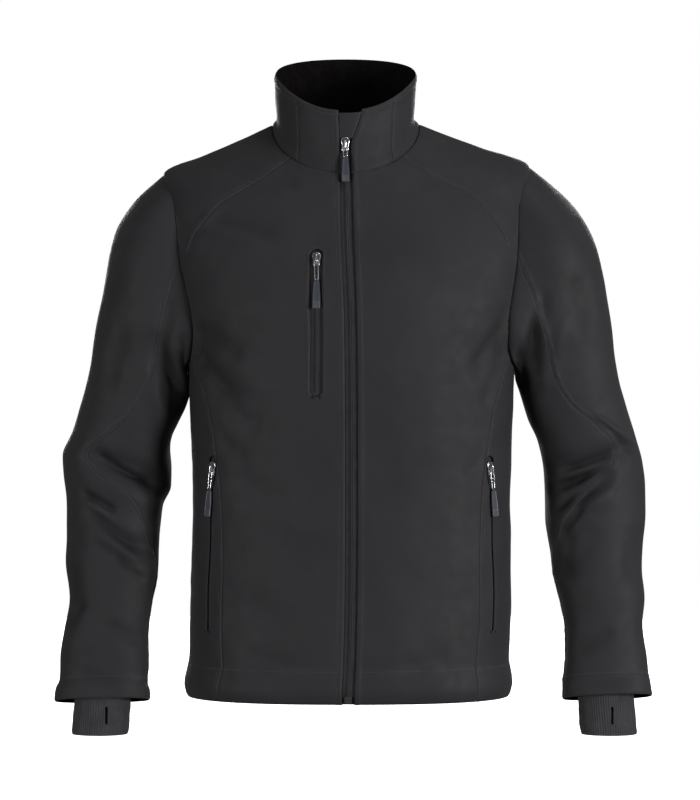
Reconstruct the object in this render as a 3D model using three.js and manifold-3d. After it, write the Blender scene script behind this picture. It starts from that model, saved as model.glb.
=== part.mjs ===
// Softshell jacket, filled out and zipped up, as worn by nobody.
// Millimetres, +Z up. The front faces -Y and the wearer's left arm is at +X.
// The origin is on the centre line of the neck, level with the top of the shoulders,
// where a wearer's shoulders carry the jacket.

import * as THREE from "three";
import { mergeVertices } from "three/addons/utils/BufferGeometryUtils.js";
import Module from "manifold-3d";

const wasm = await Module();
wasm.setup();

// Driving sizes
const WALL = 2.0; // bonded softshell cloth
const COLLAR_WALL = 3.0; // two layers of cloth, turned in at the top edge
const KNIT_WALL = 1.6; // ribbed inner cuff
const SEAM_GAP = 0.3; // between two pieces that are sewn together
const BEHIND_GAP = 0.45; // between a panel and the tape behind it
const ZIP_OPENING = 14.4; // between the two cloth edges of the front zip
const TAPE_REACH = 16; // from the centre of the zip to the hidden edge of its tape
const TAPE_WALL = 1.0;
const CHAIN_WIDTH = 5.2;
const CHAIN_WALL = 1.5;

// Body rings from the hem (up = 0) to the neck seam, sizes measured from the centre line.
// up: height along the side; zSide, zFront, zBack: level of the ring at its side and its two ends;
// half: half the width; front, back: depth; square: 2 is an ellipse, more is boxier;
// bend: 1 is a flat tilted ring, more keeps the side high; shift, middle: offset in x and y;
// tilt: rise of the wearer's left side for each millimetre of width.
const BODY_RINGS = [
  { up: 0, zSide: -707, zFront: -707, zBack: -707, half: 201, front: 123, back: 118, square: 2.5, bend: 1.5, shift: -3.5, middle: 0, tilt: 0 },
  { up: 16, zSide: -691, zFront: -691, zBack: -691, half: 204.5, front: 127, back: 121, square: 2.5, bend: 1.5, shift: -3.5, middle: 0, tilt: 0 },
  { up: 47, zSide: -660, zFront: -660, zBack: -660, half: 200, front: 121.5, back: 118, square: 2.5, bend: 1.5, shift: -2, middle: 0, tilt: 0 },
  { up: 130, zSide: -577, zFront: -577, zBack: -577, half: 199.5, front: 119, back: 116, square: 2.5, bend: 1.5, shift: 0, middle: 0, tilt: 0 },
  { up: 242, zSide: -465, zFront: -465, zBack: -465, half: 198, front: 119, back: 112, square: 2.5, bend: 1.5, shift: 0.5, middle: 0, tilt: 0 },
  { up: 330, zSide: -377, zFront: -377, zBack: -377, half: 200.5, front: 124, back: 117, square: 2.5, bend: 1.5, shift: 0.5, middle: 0, tilt: 0 },
  { up: 412, zSide: -295, zFront: -295, zBack: -295, half: 204, front: 130, back: 124, square: 2.5, bend: 1.5, shift: 0, middle: 0, tilt: 0 },
  { up: 482, zSide: -225, zFront: -230, zBack: -225, half: 212, front: 130, back: 128, square: 2.5, bend: 1.5, shift: -1, middle: 1, tilt: 0.004 },
  { up: 550, zSide: -155, zFront: -182, zBack: -150, half: 224, front: 122, back: 126, square: 2.45, bend: 1.4, shift: -3, middle: 3, tilt: 0.012 },
  { up: 605, zSide: -98, zFront: -142, zBack: -92, half: 230, front: 109, back: 119, square: 2.3, bend: 1.3, shift: -4.5, middle: 6, tilt: 0.02 },
  { up: 650, zSide: -53, zFront: -110, zBack: -48, half: 229, front: 97, back: 106, square: 2.15, bend: 1.2, shift: -5.5, middle: 8, tilt: 0.022 },
  { up: 715, zSide: -27, zFront: -84, zBack: -14, half: 168, front: 88, back: 89, square: 2.05, bend: 1.1, shift: -6, middle: 6, tilt: 0.018 },
  { up: 790, zSide: 4, zFront: -63, zBack: 14, half: 93, front: 78, back: 70, square: 2.0, bend: 1.0, shift: -6.5, middle: 4, tilt: 0.006 },
];
const NECK = 790;

// Collar rings from the neck seam (up = 0) to the top edge (up = 1), with the same columns
// and bendBack, which curves the edge behind the side seams.
const COLLAR_RINGS = [
  { up: 0, zSide: 4, zFront: -63, zBack: 14, half: 93, front: 78, back: 70, square: 2.0, bend: 1.0, bendBack: 1.0, shift: -6.5, middle: 4, tilt: 0.006 },
  { up: 0.22, zSide: 13, zFront: -46, zBack: 32, half: 86, front: 76, back: 69, square: 2.05, bend: 1.15, bendBack: 1.0, shift: -7, middle: 4, tilt: 0.004 },
  { up: 0.6, zSide: 38, zFront: -17, zBack: 62, half: 87.5, front: 76, back: 72, square: 2.1, bend: 1.5, bendBack: 0.9, shift: -7, middle: 4, tilt: 0.002 },
  { up: 1, zSide: 65, zFront: 14, zBack: 96, half: 88.5, front: 77, back: 75, square: 2.15, bend: 1.7, bendBack: 0.8, shift: -6.5, middle: 4, tilt: 0 },
];

// The armhole seam on one half of the body, clockwise from the shoulder point.
// round: angle on the armhole, 90 is its front; bearing: angle on the body, 0 is front centre.
const ARMHOLE = [
  { round: 0, bearing: 91, up: 650 },
  { round: 30, bearing: 80.5, up: 635 },
  { round: 60, bearing: 75.5, up: 593 },
  { round: 90, bearing: 73.5, up: 534 },
  { round: 120, bearing: 71.5, up: 470 },
  { round: 150, bearing: 76, up: 420 },
  { round: 180, bearing: 91, up: 405 },
  { round: 210, bearing: 106, up: 424 },
  { round: 240, bearing: 110, up: 475 },
  { round: 270, bearing: 109.5, up: 536 },
  { round: 300, bearing: 107, up: 594 },
  { round: 330, bearing: 101.5, up: 635 },
  { round: 360, bearing: 91, up: 650 },
];
const ARMHOLE_STEP = 12; // degrees of round between two shared seam points
const YOKE_END_FRONT = 72; // round angle where the front yoke seam meets the armhole
const YOKE_END_BACK = -72;
const SIDE_SEAM_FRONT = 144; // round angle where the front side seam meets the armhole
const SIDE_SEAM_BACK = 216;
const SLEEVE_SEAM_START = 84; // round angle where the sleeve seam leaves the armhole

// Seams as seen from the front or the back: distance from the centre line, and height
const YOKE_SEAM = [
  { out: 69, z: -42 },
  { out: 98, z: -62 },
  { out: 131, z: -82 },
  { out: 163, z: -104 },
  { out: 187, z: -134 },
  { out: 199, z: -158 },
];
const SIDE_SEAM = [
  { out: 177, z: -340 },
  { out: 164, z: -412 },
  { out: 157, z: -496 },
  { out: 156.5, z: -550 },
  { out: 157, z: -612 },
  { out: 155.5, z: -676 },
  { out: 155, z: -706.9 },
];

// Sleeve rings below the armhole. along: way down the sleeve; outX, outZ and inX, inZ: its outer and
// inner edge as seen from the front; y: centre; deep: half the depth front to back.
const SLEEVE_RINGS = {
  right: [
    { along: 110, outX: 312, outZ: -215, inX: 207, inZ: -331, y: 7, deep: 63 },
    { along: 136, outX: 319, outZ: -252, inX: 212, inZ: -346, y: 10, deep: 62 },
    { along: 173, outX: 328, outZ: -300, inX: 221.5, inZ: -370, y: 13, deep: 61 },
    { along: 206, outX: 340, outZ: -346, inX: 226, inZ: -388, y: 17, deep: 60 },
    { along: 231, outX: 350, outZ: -378, inX: 228, inZ: -405, y: 20, deep: 60 },
    { along: 258, outX: 362, outZ: -409, inX: 226.5, inZ: -428, y: 22, deep: 59 },
    { along: 281, outX: 361, outZ: -434, inX: 227, inZ: -448, y: 21, deep: 57 },
    { along: 308, outX: 357, outZ: -466, inX: 237, inZ: -471, y: 17, deep: 54 },
    { along: 345, outX: 356, outZ: -503, inX: 240.5, inZ: -508, y: 10, deep: 51 },
    { along: 389, outX: 355.5, outZ: -546, inX: 241.5, inZ: -552, y: 0, deep: 48 },
    { along: 432, outX: 350.5, outZ: -589, inX: 248, inZ: -594, y: -10, deep: 44 },
    { along: 468, outX: 356, outZ: -625.5, inX: 251.5, inZ: -629, y: -19, deep: 40 },
    { along: 504, outX: 360, outZ: -662, inX: 250.5, inZ: -664.5, y: -28, deep: 36 },
    { along: 529, outX: 359.5, outZ: -687, inX: 252, inZ: -690, y: -34, deep: 33 },
    { along: 538, outX: 363, outZ: -696, inX: 249, inZ: -698.5, y: -36, deep: 33 },
    { along: 552, outX: 366, outZ: -712, inX: 248.5, inZ: -710, y: -39, deep: 32 },
  ],
  left: [
    { along: 110, outX: 321, outZ: -215, inX: 207, inZ: -319, y: 7, deep: 63 },
    { along: 136, outX: 327, outZ: -256, inX: 211, inZ: -330, y: 10, deep: 62 },
    { along: 173, outX: 334, outZ: -300, inX: 216, inZ: -346, y: 13, deep: 61 },
    { along: 206, outX: 343.5, outZ: -340, inX: 222.5, inZ: -366, y: 17, deep: 60 },
    { along: 237, outX: 355, outZ: -380, inX: 234, inZ: -392, y: 20, deep: 60 },
    { along: 270, outX: 366, outZ: -418, inX: 241.5, inZ: -428, y: 22, deep: 59 },
    { along: 298, outX: 369.5, outZ: -447, inX: 244, inZ: -459, y: 20, deep: 57 },
    { along: 326, outX: 370, outZ: -478, inX: 244.5, inZ: -485, y: 16, deep: 54 },
    { along: 367, outX: 366, outZ: -522, inX: 249.5, inZ: -526, y: 8, deep: 50 },
    { along: 400, outX: 364, outZ: -555, inX: 253, inZ: -558, y: 1, deep: 47 },
    { along: 434, outX: 365.5, outZ: -589, inX: 261, inZ: -592, y: -8, deep: 43 },
    { along: 468, outX: 362, outZ: -623, inX: 265.5, inZ: -626, y: -17, deep: 39 },
    { along: 501, outX: 366, outZ: -656, inX: 265, inZ: -658.5, y: -26, deep: 36 },
    { along: 523, outX: 367.5, outZ: -678, inX: 262.5, inZ: -680.5, y: -32, deep: 33 },
    { along: 534, outX: 369.5, outZ: -688, inX: 261.5, inZ: -691, y: -35, deep: 33 },
    { along: 550, outX: 372, outZ: -705, inX: 261.5, inZ: -709, y: -39, deep: 32 },
  ],
};
const SLEEVE_SQUARE = 2.25;
const CAP_LENGTH = 110; // the shaped head of the sleeve, from the armhole to its first full ring
const CAP_LIFT = { top: 0.5, under: 0.4 }; // how far the head leaves the armhole along the body's own normal
const CAP_FULLNESS = { top: 1.6, under: 1 }; // 1 follows the straight span, more is rounder
const CAP_STEPS = [0, 0.16, 0.34, 0.54, 0.77];
const UPPER_ARM = { x: 0.2, z: -0.98 };

// The seam between the outer and the inner sleeve panel: angle from the sleeve's outer edge
const SLEEVE_SEAM = [
  { along: 0, round: 84 },
  { along: 60, round: 101 },
  { along: 110, round: 109 },
  { along: 150, round: 107 },
  { along: 190, round: 95 },
  { along: 220, round: 76 },
  { along: 247, round: 60 },
  { along: 266, round: 70 },
  { along: 290, round: 97 },
  { along: 318, round: 122 },
  { along: 352, round: 146 },
  { along: 390, round: 170 },
  { along: 412, round: 179 },
];
const SLEEVE_SEAM_END = 412;

// Largest folds as seen from the front: from (x1, z1) to (x2, z2), depth in is negative
const FOLDS = {
  right: [
    { face: "front", x1: 232, z1: -446, x2: 326, z2: -408, deep: -9, wide: 13 },
    { face: "front", x1: 240, z1: -470, x2: 336, z2: -432, deep: 5, wide: 14 },
    { face: "front", x1: 244, z1: -530, x2: 306, z2: -478, deep: -5, wide: 13 },
    { face: "front", x1: 246, z1: -560, x2: 330, z2: -506, deep: 4, wide: 15 },
    { face: "front", x1: 214, z1: -352, x2: 250, z2: -262, deep: -5, wide: 14 },
    { face: "back", x1: 232, z1: -448, x2: 338, z2: -418, deep: -6, wide: 15 },
    { face: "back", x1: 240, z1: -500, x2: 330, z2: -462, deep: 4, wide: 16 },
  ],
  left: [
    { face: "front", x1: 246, z1: -428, x2: 352, z2: -398, deep: -7, wide: 14 },
    { face: "front", x1: 250, z1: -462, x2: 322, z2: -436, deep: -8, wide: 14 },
    { face: "front", x1: 250, z1: -500, x2: 330, z2: -452, deep: 5, wide: 15 },
    { face: "front", x1: 262, z1: -560, x2: 300, z2: -500, deep: -4, wide: 14 },
    { face: "front", x1: 296, z1: -250, x2: 276, z2: -190, deep: -4, wide: 16 },
    { face: "back", x1: 246, z1: -446, x2: 350, z2: -414, deep: -6, wide: 15 },
    { face: "back", x1: 250, z1: -500, x2: 340, z2: -458, deep: 4, wide: 16 },
  ],
  body: [
    { face: "front", x1: -172, z1: -318, x2: -110, z2: -378, deep: -4, wide: 17 },
    { face: "front", x1: -166, z1: -276, x2: -100, z2: -332, deep: 3, wide: 17 },
    { face: "front", x1: 196, z1: -268, x2: 150, z2: -322, deep: -3.5, wide: 16 },
    { face: "front", x1: -142, z1: -432, x2: -86, z2: -470, deep: -3, wide: 18 },
    { face: "back", x1: -180, z1: -470, x2: 180, z2: -486, deep: -4, wide: 24 },
    { face: "back", x1: -190, z1: -300, x2: -110, z2: -360, deep: -4, wide: 18 },
    { face: "back", x1: 190, z1: -300, x2: 110, z2: -360, deep: -4, wide: 18 },
  ],
};

// Pocket zips: a line on the wearer's right side as seen from the front
const CHEST_ZIP = [
  { out: 37.6, z: -157 },
  { out: 41, z: -246 },
  { out: 42.2, z: -336 },
];
const HAND_ZIP = [
  { out: 169, z: -408 },
  { out: 171.5, z: -460 },
  { out: 172.5, z: -520 },
  { out: 175, z: -575 },
  { out: 174.5, z: -622 },
];
const CHEST_ZIP_OPENING = 15;
const HAND_ZIP_OPENING = 13; // round the slider; below it the cloth nearly closes over the zip
const HAND_ZIP_CLOSED = 0.47; // share of that opening which stays open lower down, just clear of the chain
const TAPE_OVERLAP = 5; // tape hidden behind each edge of a pocket's opening

// Sliders and pulls
const SLIDER = { wide: 11.4, narrow: 8.6, tall: 17, thick: 2.4 };
const BRIDGE = { wide: 2.0, tall: 11, high: 4.4, bar: 1.3 };
const LINK = { wide: 6.2, bar: 1.3, thick: 1.3 };
const TAB = { top: 6.8, bottom: 9.6, thick: 2.6 };
const PULLS = { front: { link: 13.5, tab: 31 }, chest: { link: 25, tab: 35 }, hand: { link: 23, tab: 33 } };

// Inner cuff: ring sizes where it leaves the sleeve and at its free edge
const INNER_CUFF = {
  right: { topX: 306, endX: 309, endZ: -752 },
  left: { topX: 314.5, endX: 317.5, endZ: -752 },
};
const CUFF_SEAM_RING = 12; // the sleeve ring that the knit is sewn to the inside of
const CUFF_HALF_WIDTH = 34.5;
const CUFF_HALF_DEPTH = 22;
const CUFF_TOP_Z = -706;
const CUFF_Y = { top: -40, end: -48 };
const THUMB_SLIT = { wide: 2.4, tall: 21, fromEnd: 14, offset: { right: -8, left: 4 } };
const SAME_POINT = 0.02; // two seam points this close are one point

// Colours
const CLOTH = { color: 0x2a292c, roughness: 0.82, metalness: 0 };
const KNIT = { color: 0x2d2c30, roughness: 0.9, metalness: 0 };
const TAPE = { color: 0x1b1b1e, roughness: 0.85, metalness: 0 };
const COIL = { color: 0x202024, roughness: 0.5, metalness: 0 };
const METAL = { color: 0x8a8c92, roughness: 0.3, metalness: 1 };
const RUBBER = { color: 0x4a4d57, roughness: 0.6, metalness: 0 };

const radians = (degrees) => (degrees * Math.PI) / 180;
const mix = (a, b, share) => a + (b - a) * share;
const clamp = (value, low, high) => Math.min(high, Math.max(low, value));
const fade = (value) => {
  const held = clamp(value, 0, 1);
  return held * held * (3 - 2 * held);
};

// A table read as smooth curves, one for each column, with no overshoot between its rows
function tableCurve(rows, key) {
  const knots = rows.map((row) => row[key]);
  const columns = Object.keys(rows[0]).filter((name) => name !== key && typeof rows[0][name] === "number");
  const slopes = {};
  for (const name of columns) {
    const steps = knots.slice(1).map((knot, i) => (rows[i + 1][name] - rows[i][name]) / (knot - knots[i]));
    slopes[name] = knots.map((_, i) => {
      if (i === 0) return steps[0];
      if (i === knots.length - 1) return steps[i - 1];
      if (steps[i - 1] * steps[i] <= 0) return 0;
      return (2 * steps[i - 1] * steps[i]) / (steps[i - 1] + steps[i]);
    });
  }
  return (value) => {
    let i = 0;
    while (i < knots.length - 2 && value > knots[i + 1]) i += 1;
    const span = knots[i + 1] - knots[i];
    const s = (value - knots[i]) / span;
    const found = {};
    for (const name of columns) {
      const [a, b] = [rows[i][name], rows[i + 1][name]];
      const [ma, mb] = [slopes[name][i] * span, slopes[name][i + 1] * span];
      found[name] =
        a * (2 * s ** 3 - 3 * s ** 2 + 1) + ma * (s ** 3 - 2 * s ** 2 + s) +
        b * (3 * s ** 2 - 2 * s ** 3) + mb * (s ** 3 - s ** 2);
    }
    return found;
  };
}

const bodyRing = tableCurve(BODY_RINGS, "up");
const collarRing = tableCurve(COLLAR_RINGS, "up");
const armholeAt = tableCurve(ARMHOLE, "round");
const sleeveSeamAt = tableCurve(SLEEVE_SEAM, "along");
const sleeveRing = {
  right: tableCurve(SLEEVE_RINGS.right, "along"),
  left: tableCurve(SLEEVE_RINGS.left, "along"),
};

// Depth of the folds at a point seen from the front; facing is 1 on the front and -1 on the back
function foldDepth(folds, x, z, facing) {
  let total = 0;
  for (const fold of folds) {
    const dx = fold.x2 - fold.x1;
    const dz = fold.z2 - fold.z1;
    const length = Math.hypot(dx, dz);
    const alongFold = ((x - fold.x1) * dx + (z - fold.z1) * dz) / length ** 2;
    const away = ((x - fold.x1) * dz - (z - fold.z1) * dx) / length;
    const ends = fade((alongFold + 0.15) / 0.35) * fade((1.15 - alongFold) / 0.35);
    const side = fade(fold.face === "front" ? facing * 2 : -facing * 2);
    total += fold.deep * ends * side * Math.exp(-((away / fold.wide) ** 2));
  }
  return total;
}

// A point of a body or collar ring before its shift and tilt
function ringPoint(ring, bearing) {
  const side = Math.sin(radians(bearing));
  const ahead = Math.cos(radians(bearing));
  const depth = ahead > 0 ? ring.front : ring.back;
  const reach =
    (Math.abs(ahead / depth) ** ring.square + Math.abs(side / ring.half) ** ring.square) ** (-1 / ring.square);
  const lean = (Math.abs(ahead) * reach) / depth;
  const zEnd = ahead > 0 ? ring.zFront : ring.zBack;
  const bend = ahead > 0 ? ring.bend : ring.bendBack ?? ring.bend;
  return [reach * side, ring.middle - reach * ahead, mix(ring.zSide, zEnd, lean ** bend)];
}

function placedRingPoint(ring, bearing) {
  const [x, y, z] = ringPoint(ring, bearing);
  return new THREE.Vector3(x + ring.shift, y, z + ring.tilt * x);
}

// Surfaces take two coordinates and give a point; numeric slopes give the normal
class Surface {
  constructor(place, steps) {
    this.place = place;
    this.steps = steps;
  }
  bare(u, v) {
    return this.place(u, v);
  }
  normal(u, v) {
    const [du, dv] = this.steps;
    const alongU = this.bare(u + du, v).sub(this.bare(u - du, v));
    const alongV = this.bare(u, v + dv).sub(this.bare(u, v - dv));
    return alongU.cross(alongV).normalize();
  }
}

function folded(surface, depthAt) {
  return new Surface((u, v) => {
    const point = surface.bare(u, v);
    return point.addScaledVector(surface.normal(u, v), depthAt(point, u, v));
  }, surface.steps);
}

const plainBody = new Surface((bearing, up) => placedRingPoint(bodyRing(up), bearing), [0.5, 2]);
const body = folded(plainBody, (point) => foldDepth(FOLDS.body, point.x, point.z, -point.y / 60));
const collar = new Surface((bearing, up) => placedRingPoint(collarRing(up), bearing), [0.5, 0.02]);

// Halving a range until a rising function reaches a goal
function solveRising(rises, goal, low, high) {
  for (let i = 0; i < 40; i += 1) {
    const middle = (low + high) / 2;
    if (rises(middle) < goal) low = middle;
    else high = middle;
  }
  return (low + high) / 2;
}

// The body coordinates of a point seen from the front or the back
function onBody(out, z, fromBack = false) {
  const bearingOf = (share) => (fromBack ? 180 - share : share);
  const upAt = (share) => solveRising((up) => ringPoint(bodyRing(up), bearingOf(share))[2], z, 0, NECK);
  const share = solveRising((s) => ringPoint(bodyRing(upAt(s)), bearingOf(s))[0], out, 0, 90);
  return [bearingOf(share), upAt(share)];
}

function bearingAtWidth(ringAt, x, up) {
  const goal = Math.abs(x);
  return Math.sign(x) * solveRising((bearing) => ringPoint(ringAt(up), bearing)[0], goal, 0, 60);
}

// A smooth line through body coordinates, read at even shares of its real length
function lineOnBody(controls, count) {
  const curve = new THREE.CatmullRomCurve3(
    controls.map(([bearing, up]) => new THREE.Vector3(bearing * 2.6, up, 0)), false, "centripetal");
  return curve.getSpacedPoints(count).map((p) => [p.x / 2.6, p.y]);
}

function armholeLine(from, to) {
  const count = Math.round(Math.abs(to - from) / ARMHOLE_STEP);
  return Array.from({ length: count + 1 }, (_, i) => {
    const round = mix(from, to, i / count);
    const at = armholeAt(((round % 360) + 360) % 360);
    return [at.bearing, at.up];
  });
}

// A patch filled in from its four edges; low and high run along i, start and end along j
function fillPatch({ low, high, start, end }) {
  const columns = low.length - 1;
  const rows = start.length - 1;
  return Array.from({ length: rows + 1 }, (_, j) =>
    Array.from({ length: columns + 1 }, (__, i) => {
      const s = i / columns;
      const t = j / rows;
      return [0, 1].map((k) =>
        mix(low[i][k], high[i][k], t) + mix(start[j][k], end[j][k], s) -
        mix(mix(low[0][k], low[columns][k], s), mix(high[0][k], high[columns][k], s), t));
    }));
}

const mirrorLine = (line) => line.map(([bearing, up]) => [-bearing, up]);
const mirrorPatch = (patch) => patch.map((row) => mirrorLine(row).reverse());
const joinLines = (first, second) => [...first, ...second.slice(1)];

// Seams on the wearer's left half; the right half mirrors them
const neckCorner = [onBody(YOKE_SEAM[0].out, YOKE_SEAM[0].z)[0], NECK];
const backCorner = [180 - neckCorner[0] * 0.8, NECK];
const YOKE_STEPS = 5;
const NECK_FRONT_STEPS = 6;
const NECK_BACK_STEPS = 6;
const SIDE_SEAM_STEPS = 12;

const yokeEndFront = armholeLine(YOKE_END_FRONT, YOKE_END_FRONT + ARMHOLE_STEP)[0];
const yokeEndBack = armholeLine(YOKE_END_BACK, YOKE_END_BACK + ARMHOLE_STEP)[0];
const yokeSeamFront = lineOnBody(
  [neckCorner, ...YOKE_SEAM.slice(1).map((p) => onBody(p.out, p.z)), yokeEndFront], YOKE_STEPS);
const yokeSeamBack = lineOnBody(
  [backCorner, ...YOKE_SEAM.slice(1).map((p) => onBody(p.out, p.z, true)), yokeEndBack], YOKE_STEPS);
const armholeFront = armholeLine(SIDE_SEAM_FRONT, YOKE_END_FRONT);
const armholeTop = armholeLine(YOKE_END_FRONT, YOKE_END_BACK);
const armholeBack = armholeLine(SIDE_SEAM_BACK, 360 + YOKE_END_BACK);
const armholeUnder = armholeLine(SIDE_SEAM_FRONT, SIDE_SEAM_BACK);
const sideSeamFront = lineOnBody(
  [...SIDE_SEAM.map((p) => onBody(p.out, p.z)).reverse(), armholeFront[0]], SIDE_SEAM_STEPS);
const sideSeamBack = lineOnBody(
  [...SIDE_SEAM.map((p) => onBody(p.out, p.z, true)).reverse(), armholeBack[0]], SIDE_SEAM_STEPS);

const zipEdgeBearing = (up) => bearingAtWidth(bodyRing, ZIP_OPENING / 2, up);
const frontRows = SIDE_SEAM_STEPS + armholeFront.length - 1;
const zipEdge = Array.from({ length: frontRows + 1 }, (_, j) => {
  const up = (NECK * j) / frontRows;
  return [zipEdgeBearing(up), up];
});
const levelLine = (from, to, up, count) =>
  Array.from({ length: count + 1 }, (_, i) => [mix(from, to, i / count), up]);
const neckFront = levelLine(zipEdge[frontRows][0], neckCorner[0], NECK, NECK_FRONT_STEPS);
const neckSide = levelLine(neckCorner[0], backCorner[0], NECK, armholeTop.length - 1);
const neckBack = levelLine(backCorner[0], 360 - backCorner[0], NECK, NECK_BACK_STEPS);

const frontPatch = fillPatch({
  low: levelLine(zipEdge[0][0], sideSeamFront[0][0], 0, NECK_FRONT_STEPS + YOKE_STEPS),
  high: joinLines(neckFront, yokeSeamFront),
  start: zipEdge,
  end: joinLines(sideSeamFront, armholeFront),
});
const yokePatch = fillPatch({
  low: armholeTop,
  high: neckSide,
  start: [...yokeSeamFront].reverse(),
  end: [...yokeSeamBack].reverse(),
});
const sidePatch = fillPatch({
  low: levelLine(sideSeamFront[0][0], sideSeamBack[0][0], 0, armholeUnder.length - 1),
  high: armholeUnder,
  start: sideSeamFront,
  end: sideSeamBack,
});
const aroundBack = (line) => line.map(([bearing, up]) => [360 - bearing, up]);
const backPatch = fillPatch({
  low: levelLine(sideSeamBack[0][0], 360 - sideSeamBack[0][0], 0, 2 * YOKE_STEPS + NECK_BACK_STEPS),
  high: joinLines(joinLines([...yokeSeamBack].reverse(), neckBack), aroundBack(yokeSeamBack)),
  start: joinLines(sideSeamBack, armholeBack),
  end: aroundBack(joinLines(sideSeamBack, armholeBack)),
});

// Sleeve surface: round is the angle from its outer edge, 90 is its front
function sleeveSurface(hand) {
  const sign = hand === "left" ? 1 : -1;
  const ringAt = sleeveRing[hand];
  const fullRingPoint = (round, along) => {
    const ring = ringAt(along);
    const lower = ringAt(along + 1);
    const angle = radians(round);
    const reach =
      (Math.abs(Math.cos(angle)) ** SLEEVE_SQUARE + Math.abs(Math.sin(angle)) ** SLEEVE_SQUARE) ** (-1 / SLEEVE_SQUARE);
    const wide = reach * Math.cos(angle);
    const deep = reach * Math.sin(angle) * ring.deep;
    const pitch = Math.atan2(ring.y - lower.y, (ring.outZ + ring.inZ - lower.outZ - lower.inZ) / 2);
    return new THREE.Vector3(
      (ring.outX + ring.inX) / 2 + (wide * (ring.outX - ring.inX)) / 2,
      ring.y - deep * Math.cos(pitch),
      (ring.outZ + ring.inZ) / 2 + (wide * (ring.outZ - ring.inZ)) / 2 + deep * Math.sin(pitch));
  };
  const capPoint = (round, along) => {
    const at = armholeAt(((round % 360) + 360) % 360);
    const start = body.bare(sign * at.bearing, at.up);
    start.x *= sign;
    const normal = plainBody.normal(sign * at.bearing, at.up);
    normal.x *= sign;
    const end = fullRingPoint(round, CAP_LENGTH);
    const span = start.distanceTo(end);
    const top = fade((Math.cos(radians(round)) + 0.2) / 1.2);
    const lift = mix(CAP_LIFT.under, CAP_LIFT.top, top);
    const leave = normal.multiplyScalar(lift)
      .add(new THREE.Vector3(UPPER_ARM.x, 0, UPPER_ARM.z).multiplyScalar(1 - lift))
      .normalize().multiplyScalar(span * mix(CAP_FULLNESS.under, CAP_FULLNESS.top, top));
    const arrive = fullRingPoint(round, CAP_LENGTH + 1).sub(end).normalize().multiplyScalar(span);
    const s = along / CAP_LENGTH;
    return start.multiplyScalar(2 * s ** 3 - 3 * s ** 2 + 1)
      .addScaledVector(leave, s ** 3 - 2 * s ** 2 + s)
      .addScaledVector(end, 3 * s ** 2 - 2 * s ** 3)
      .addScaledVector(arrive, s ** 3 - s ** 2);
  };
  const mirrored = (point) => new THREE.Vector3(point.x * sign, point.y, point.z);
  const plain = new Surface(
    (round, along) => mirrored(along < CAP_LENGTH ? capPoint(round, along) : fullRingPoint(round, along)), [0.5, 0.5]);
  // The outward side flips with the mirror, so the normal is turned to match
  plain.normal = function outward(round, along) {
    const held = Math.max(along, 0.5);
    return Surface.prototype.normal.call(this, round, held).multiplyScalar(sign);
  };
  const surface = folded(plain, (point, round, along) =>
    foldDepth(FOLDS[hand], Math.abs(point.x), point.z, Math.sin(radians(round))) * fade(along / 60));
  surface.normal = plain.normal.bind(plain);
  return surface;
}
const sleeve = { right: sleeveSurface("right"), left: sleeveSurface("left") };

// Points and outward normals of a patch on a surface
function sample(surface, patch) {
  return patch.map((row) => row.map(([u, v]) => ({ point: surface.bare(u, v), normal: surface.normal(u, v) })));
}

function trimEdges(grid, gap) {
  const rows = grid.length - 1;
  const columns = grid[0].length - 1;
  const moves = grid.map((row) => row.map(() => new THREE.Vector3()));
  const pull = (j, i, inJ, inI, edge) => {
    const inward = grid[inJ][inI].clone().sub(grid[j][i]);
    const along = edge.clone().normalize();
    inward.addScaledVector(along, -inward.dot(along)).normalize();
    moves[j][i].addScaledVector(inward, gap);
  };
  const edgeAt = (get, k, last) => get(Math.min(k + 1, last)).clone().sub(get(Math.max(k - 1, 0)));
  for (let j = 0; j <= rows; j += 1) {
    pull(j, 0, j, 1, edgeAt((k) => grid[k][0], j, rows));
    pull(j, columns, j, columns - 1, edgeAt((k) => grid[k][columns], j, rows));
  }
  for (let i = 0; i <= columns; i += 1) {
    pull(0, i, 1, i, edgeAt((k) => grid[0][k], i, columns));
    pull(rows, i, rows - 1, i, edgeAt((k) => grid[rows][k], i, columns));
  }
  grid.forEach((row, j) => row.forEach((point, i) => point.add(moves[j][i])));
}

// A closed wall between two grids of points, the first one outermost
function wallGeometry(outer, inner) {
  const rows = outer.length;
  const columns = outer[0].length;
  const size = rows * columns;
  const positions = [...outer.flat(), ...inner.flat()].flatMap((p) => [p.x, p.y, p.z]);
  const index = [];
  const corner = (k) => new THREE.Vector3().fromArray(positions, 3 * k);
  const quad = (a, b, c, d) => {
    const short = corner(a).distanceTo(corner(c)) <= corner(b).distanceTo(corner(d));
    index.push(...(short ? [a, b, c, a, c, d] : [a, b, d, b, c, d]));
  };
  const at = (j, i, layer) => layer * size + j * columns + i;
  for (let j = 0; j < rows - 1; j += 1) {
    for (let i = 0; i < columns - 1; i += 1) {
      quad(at(j, i, 0), at(j, i + 1, 0), at(j + 1, i + 1, 0), at(j + 1, i, 0));
      quad(at(j, i, 1), at(j + 1, i, 1), at(j + 1, i + 1, 1), at(j, i + 1, 1));
    }
  }
  for (let i = 0; i < columns - 1; i += 1) {
    quad(at(0, i + 1, 0), at(0, i, 0), at(0, i, 1), at(0, i + 1, 1));
    quad(at(rows - 1, i, 0), at(rows - 1, i + 1, 0), at(rows - 1, i + 1, 1), at(rows - 1, i, 1));
  }
  for (let j = 0; j < rows - 1; j += 1) {
    quad(at(j, 0, 0), at(j + 1, 0, 0), at(j + 1, 0, 1), at(j, 0, 1));
    quad(at(j + 1, columns - 1, 0), at(j, columns - 1, 0), at(j, columns - 1, 1), at(j + 1, columns - 1, 1));
  }
  const geometry = new THREE.BufferGeometry();
  geometry.setAttribute("position", new THREE.Float32BufferAttribute(positions, 3));
  geometry.setIndex(index);
  return geometry;
}

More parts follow.
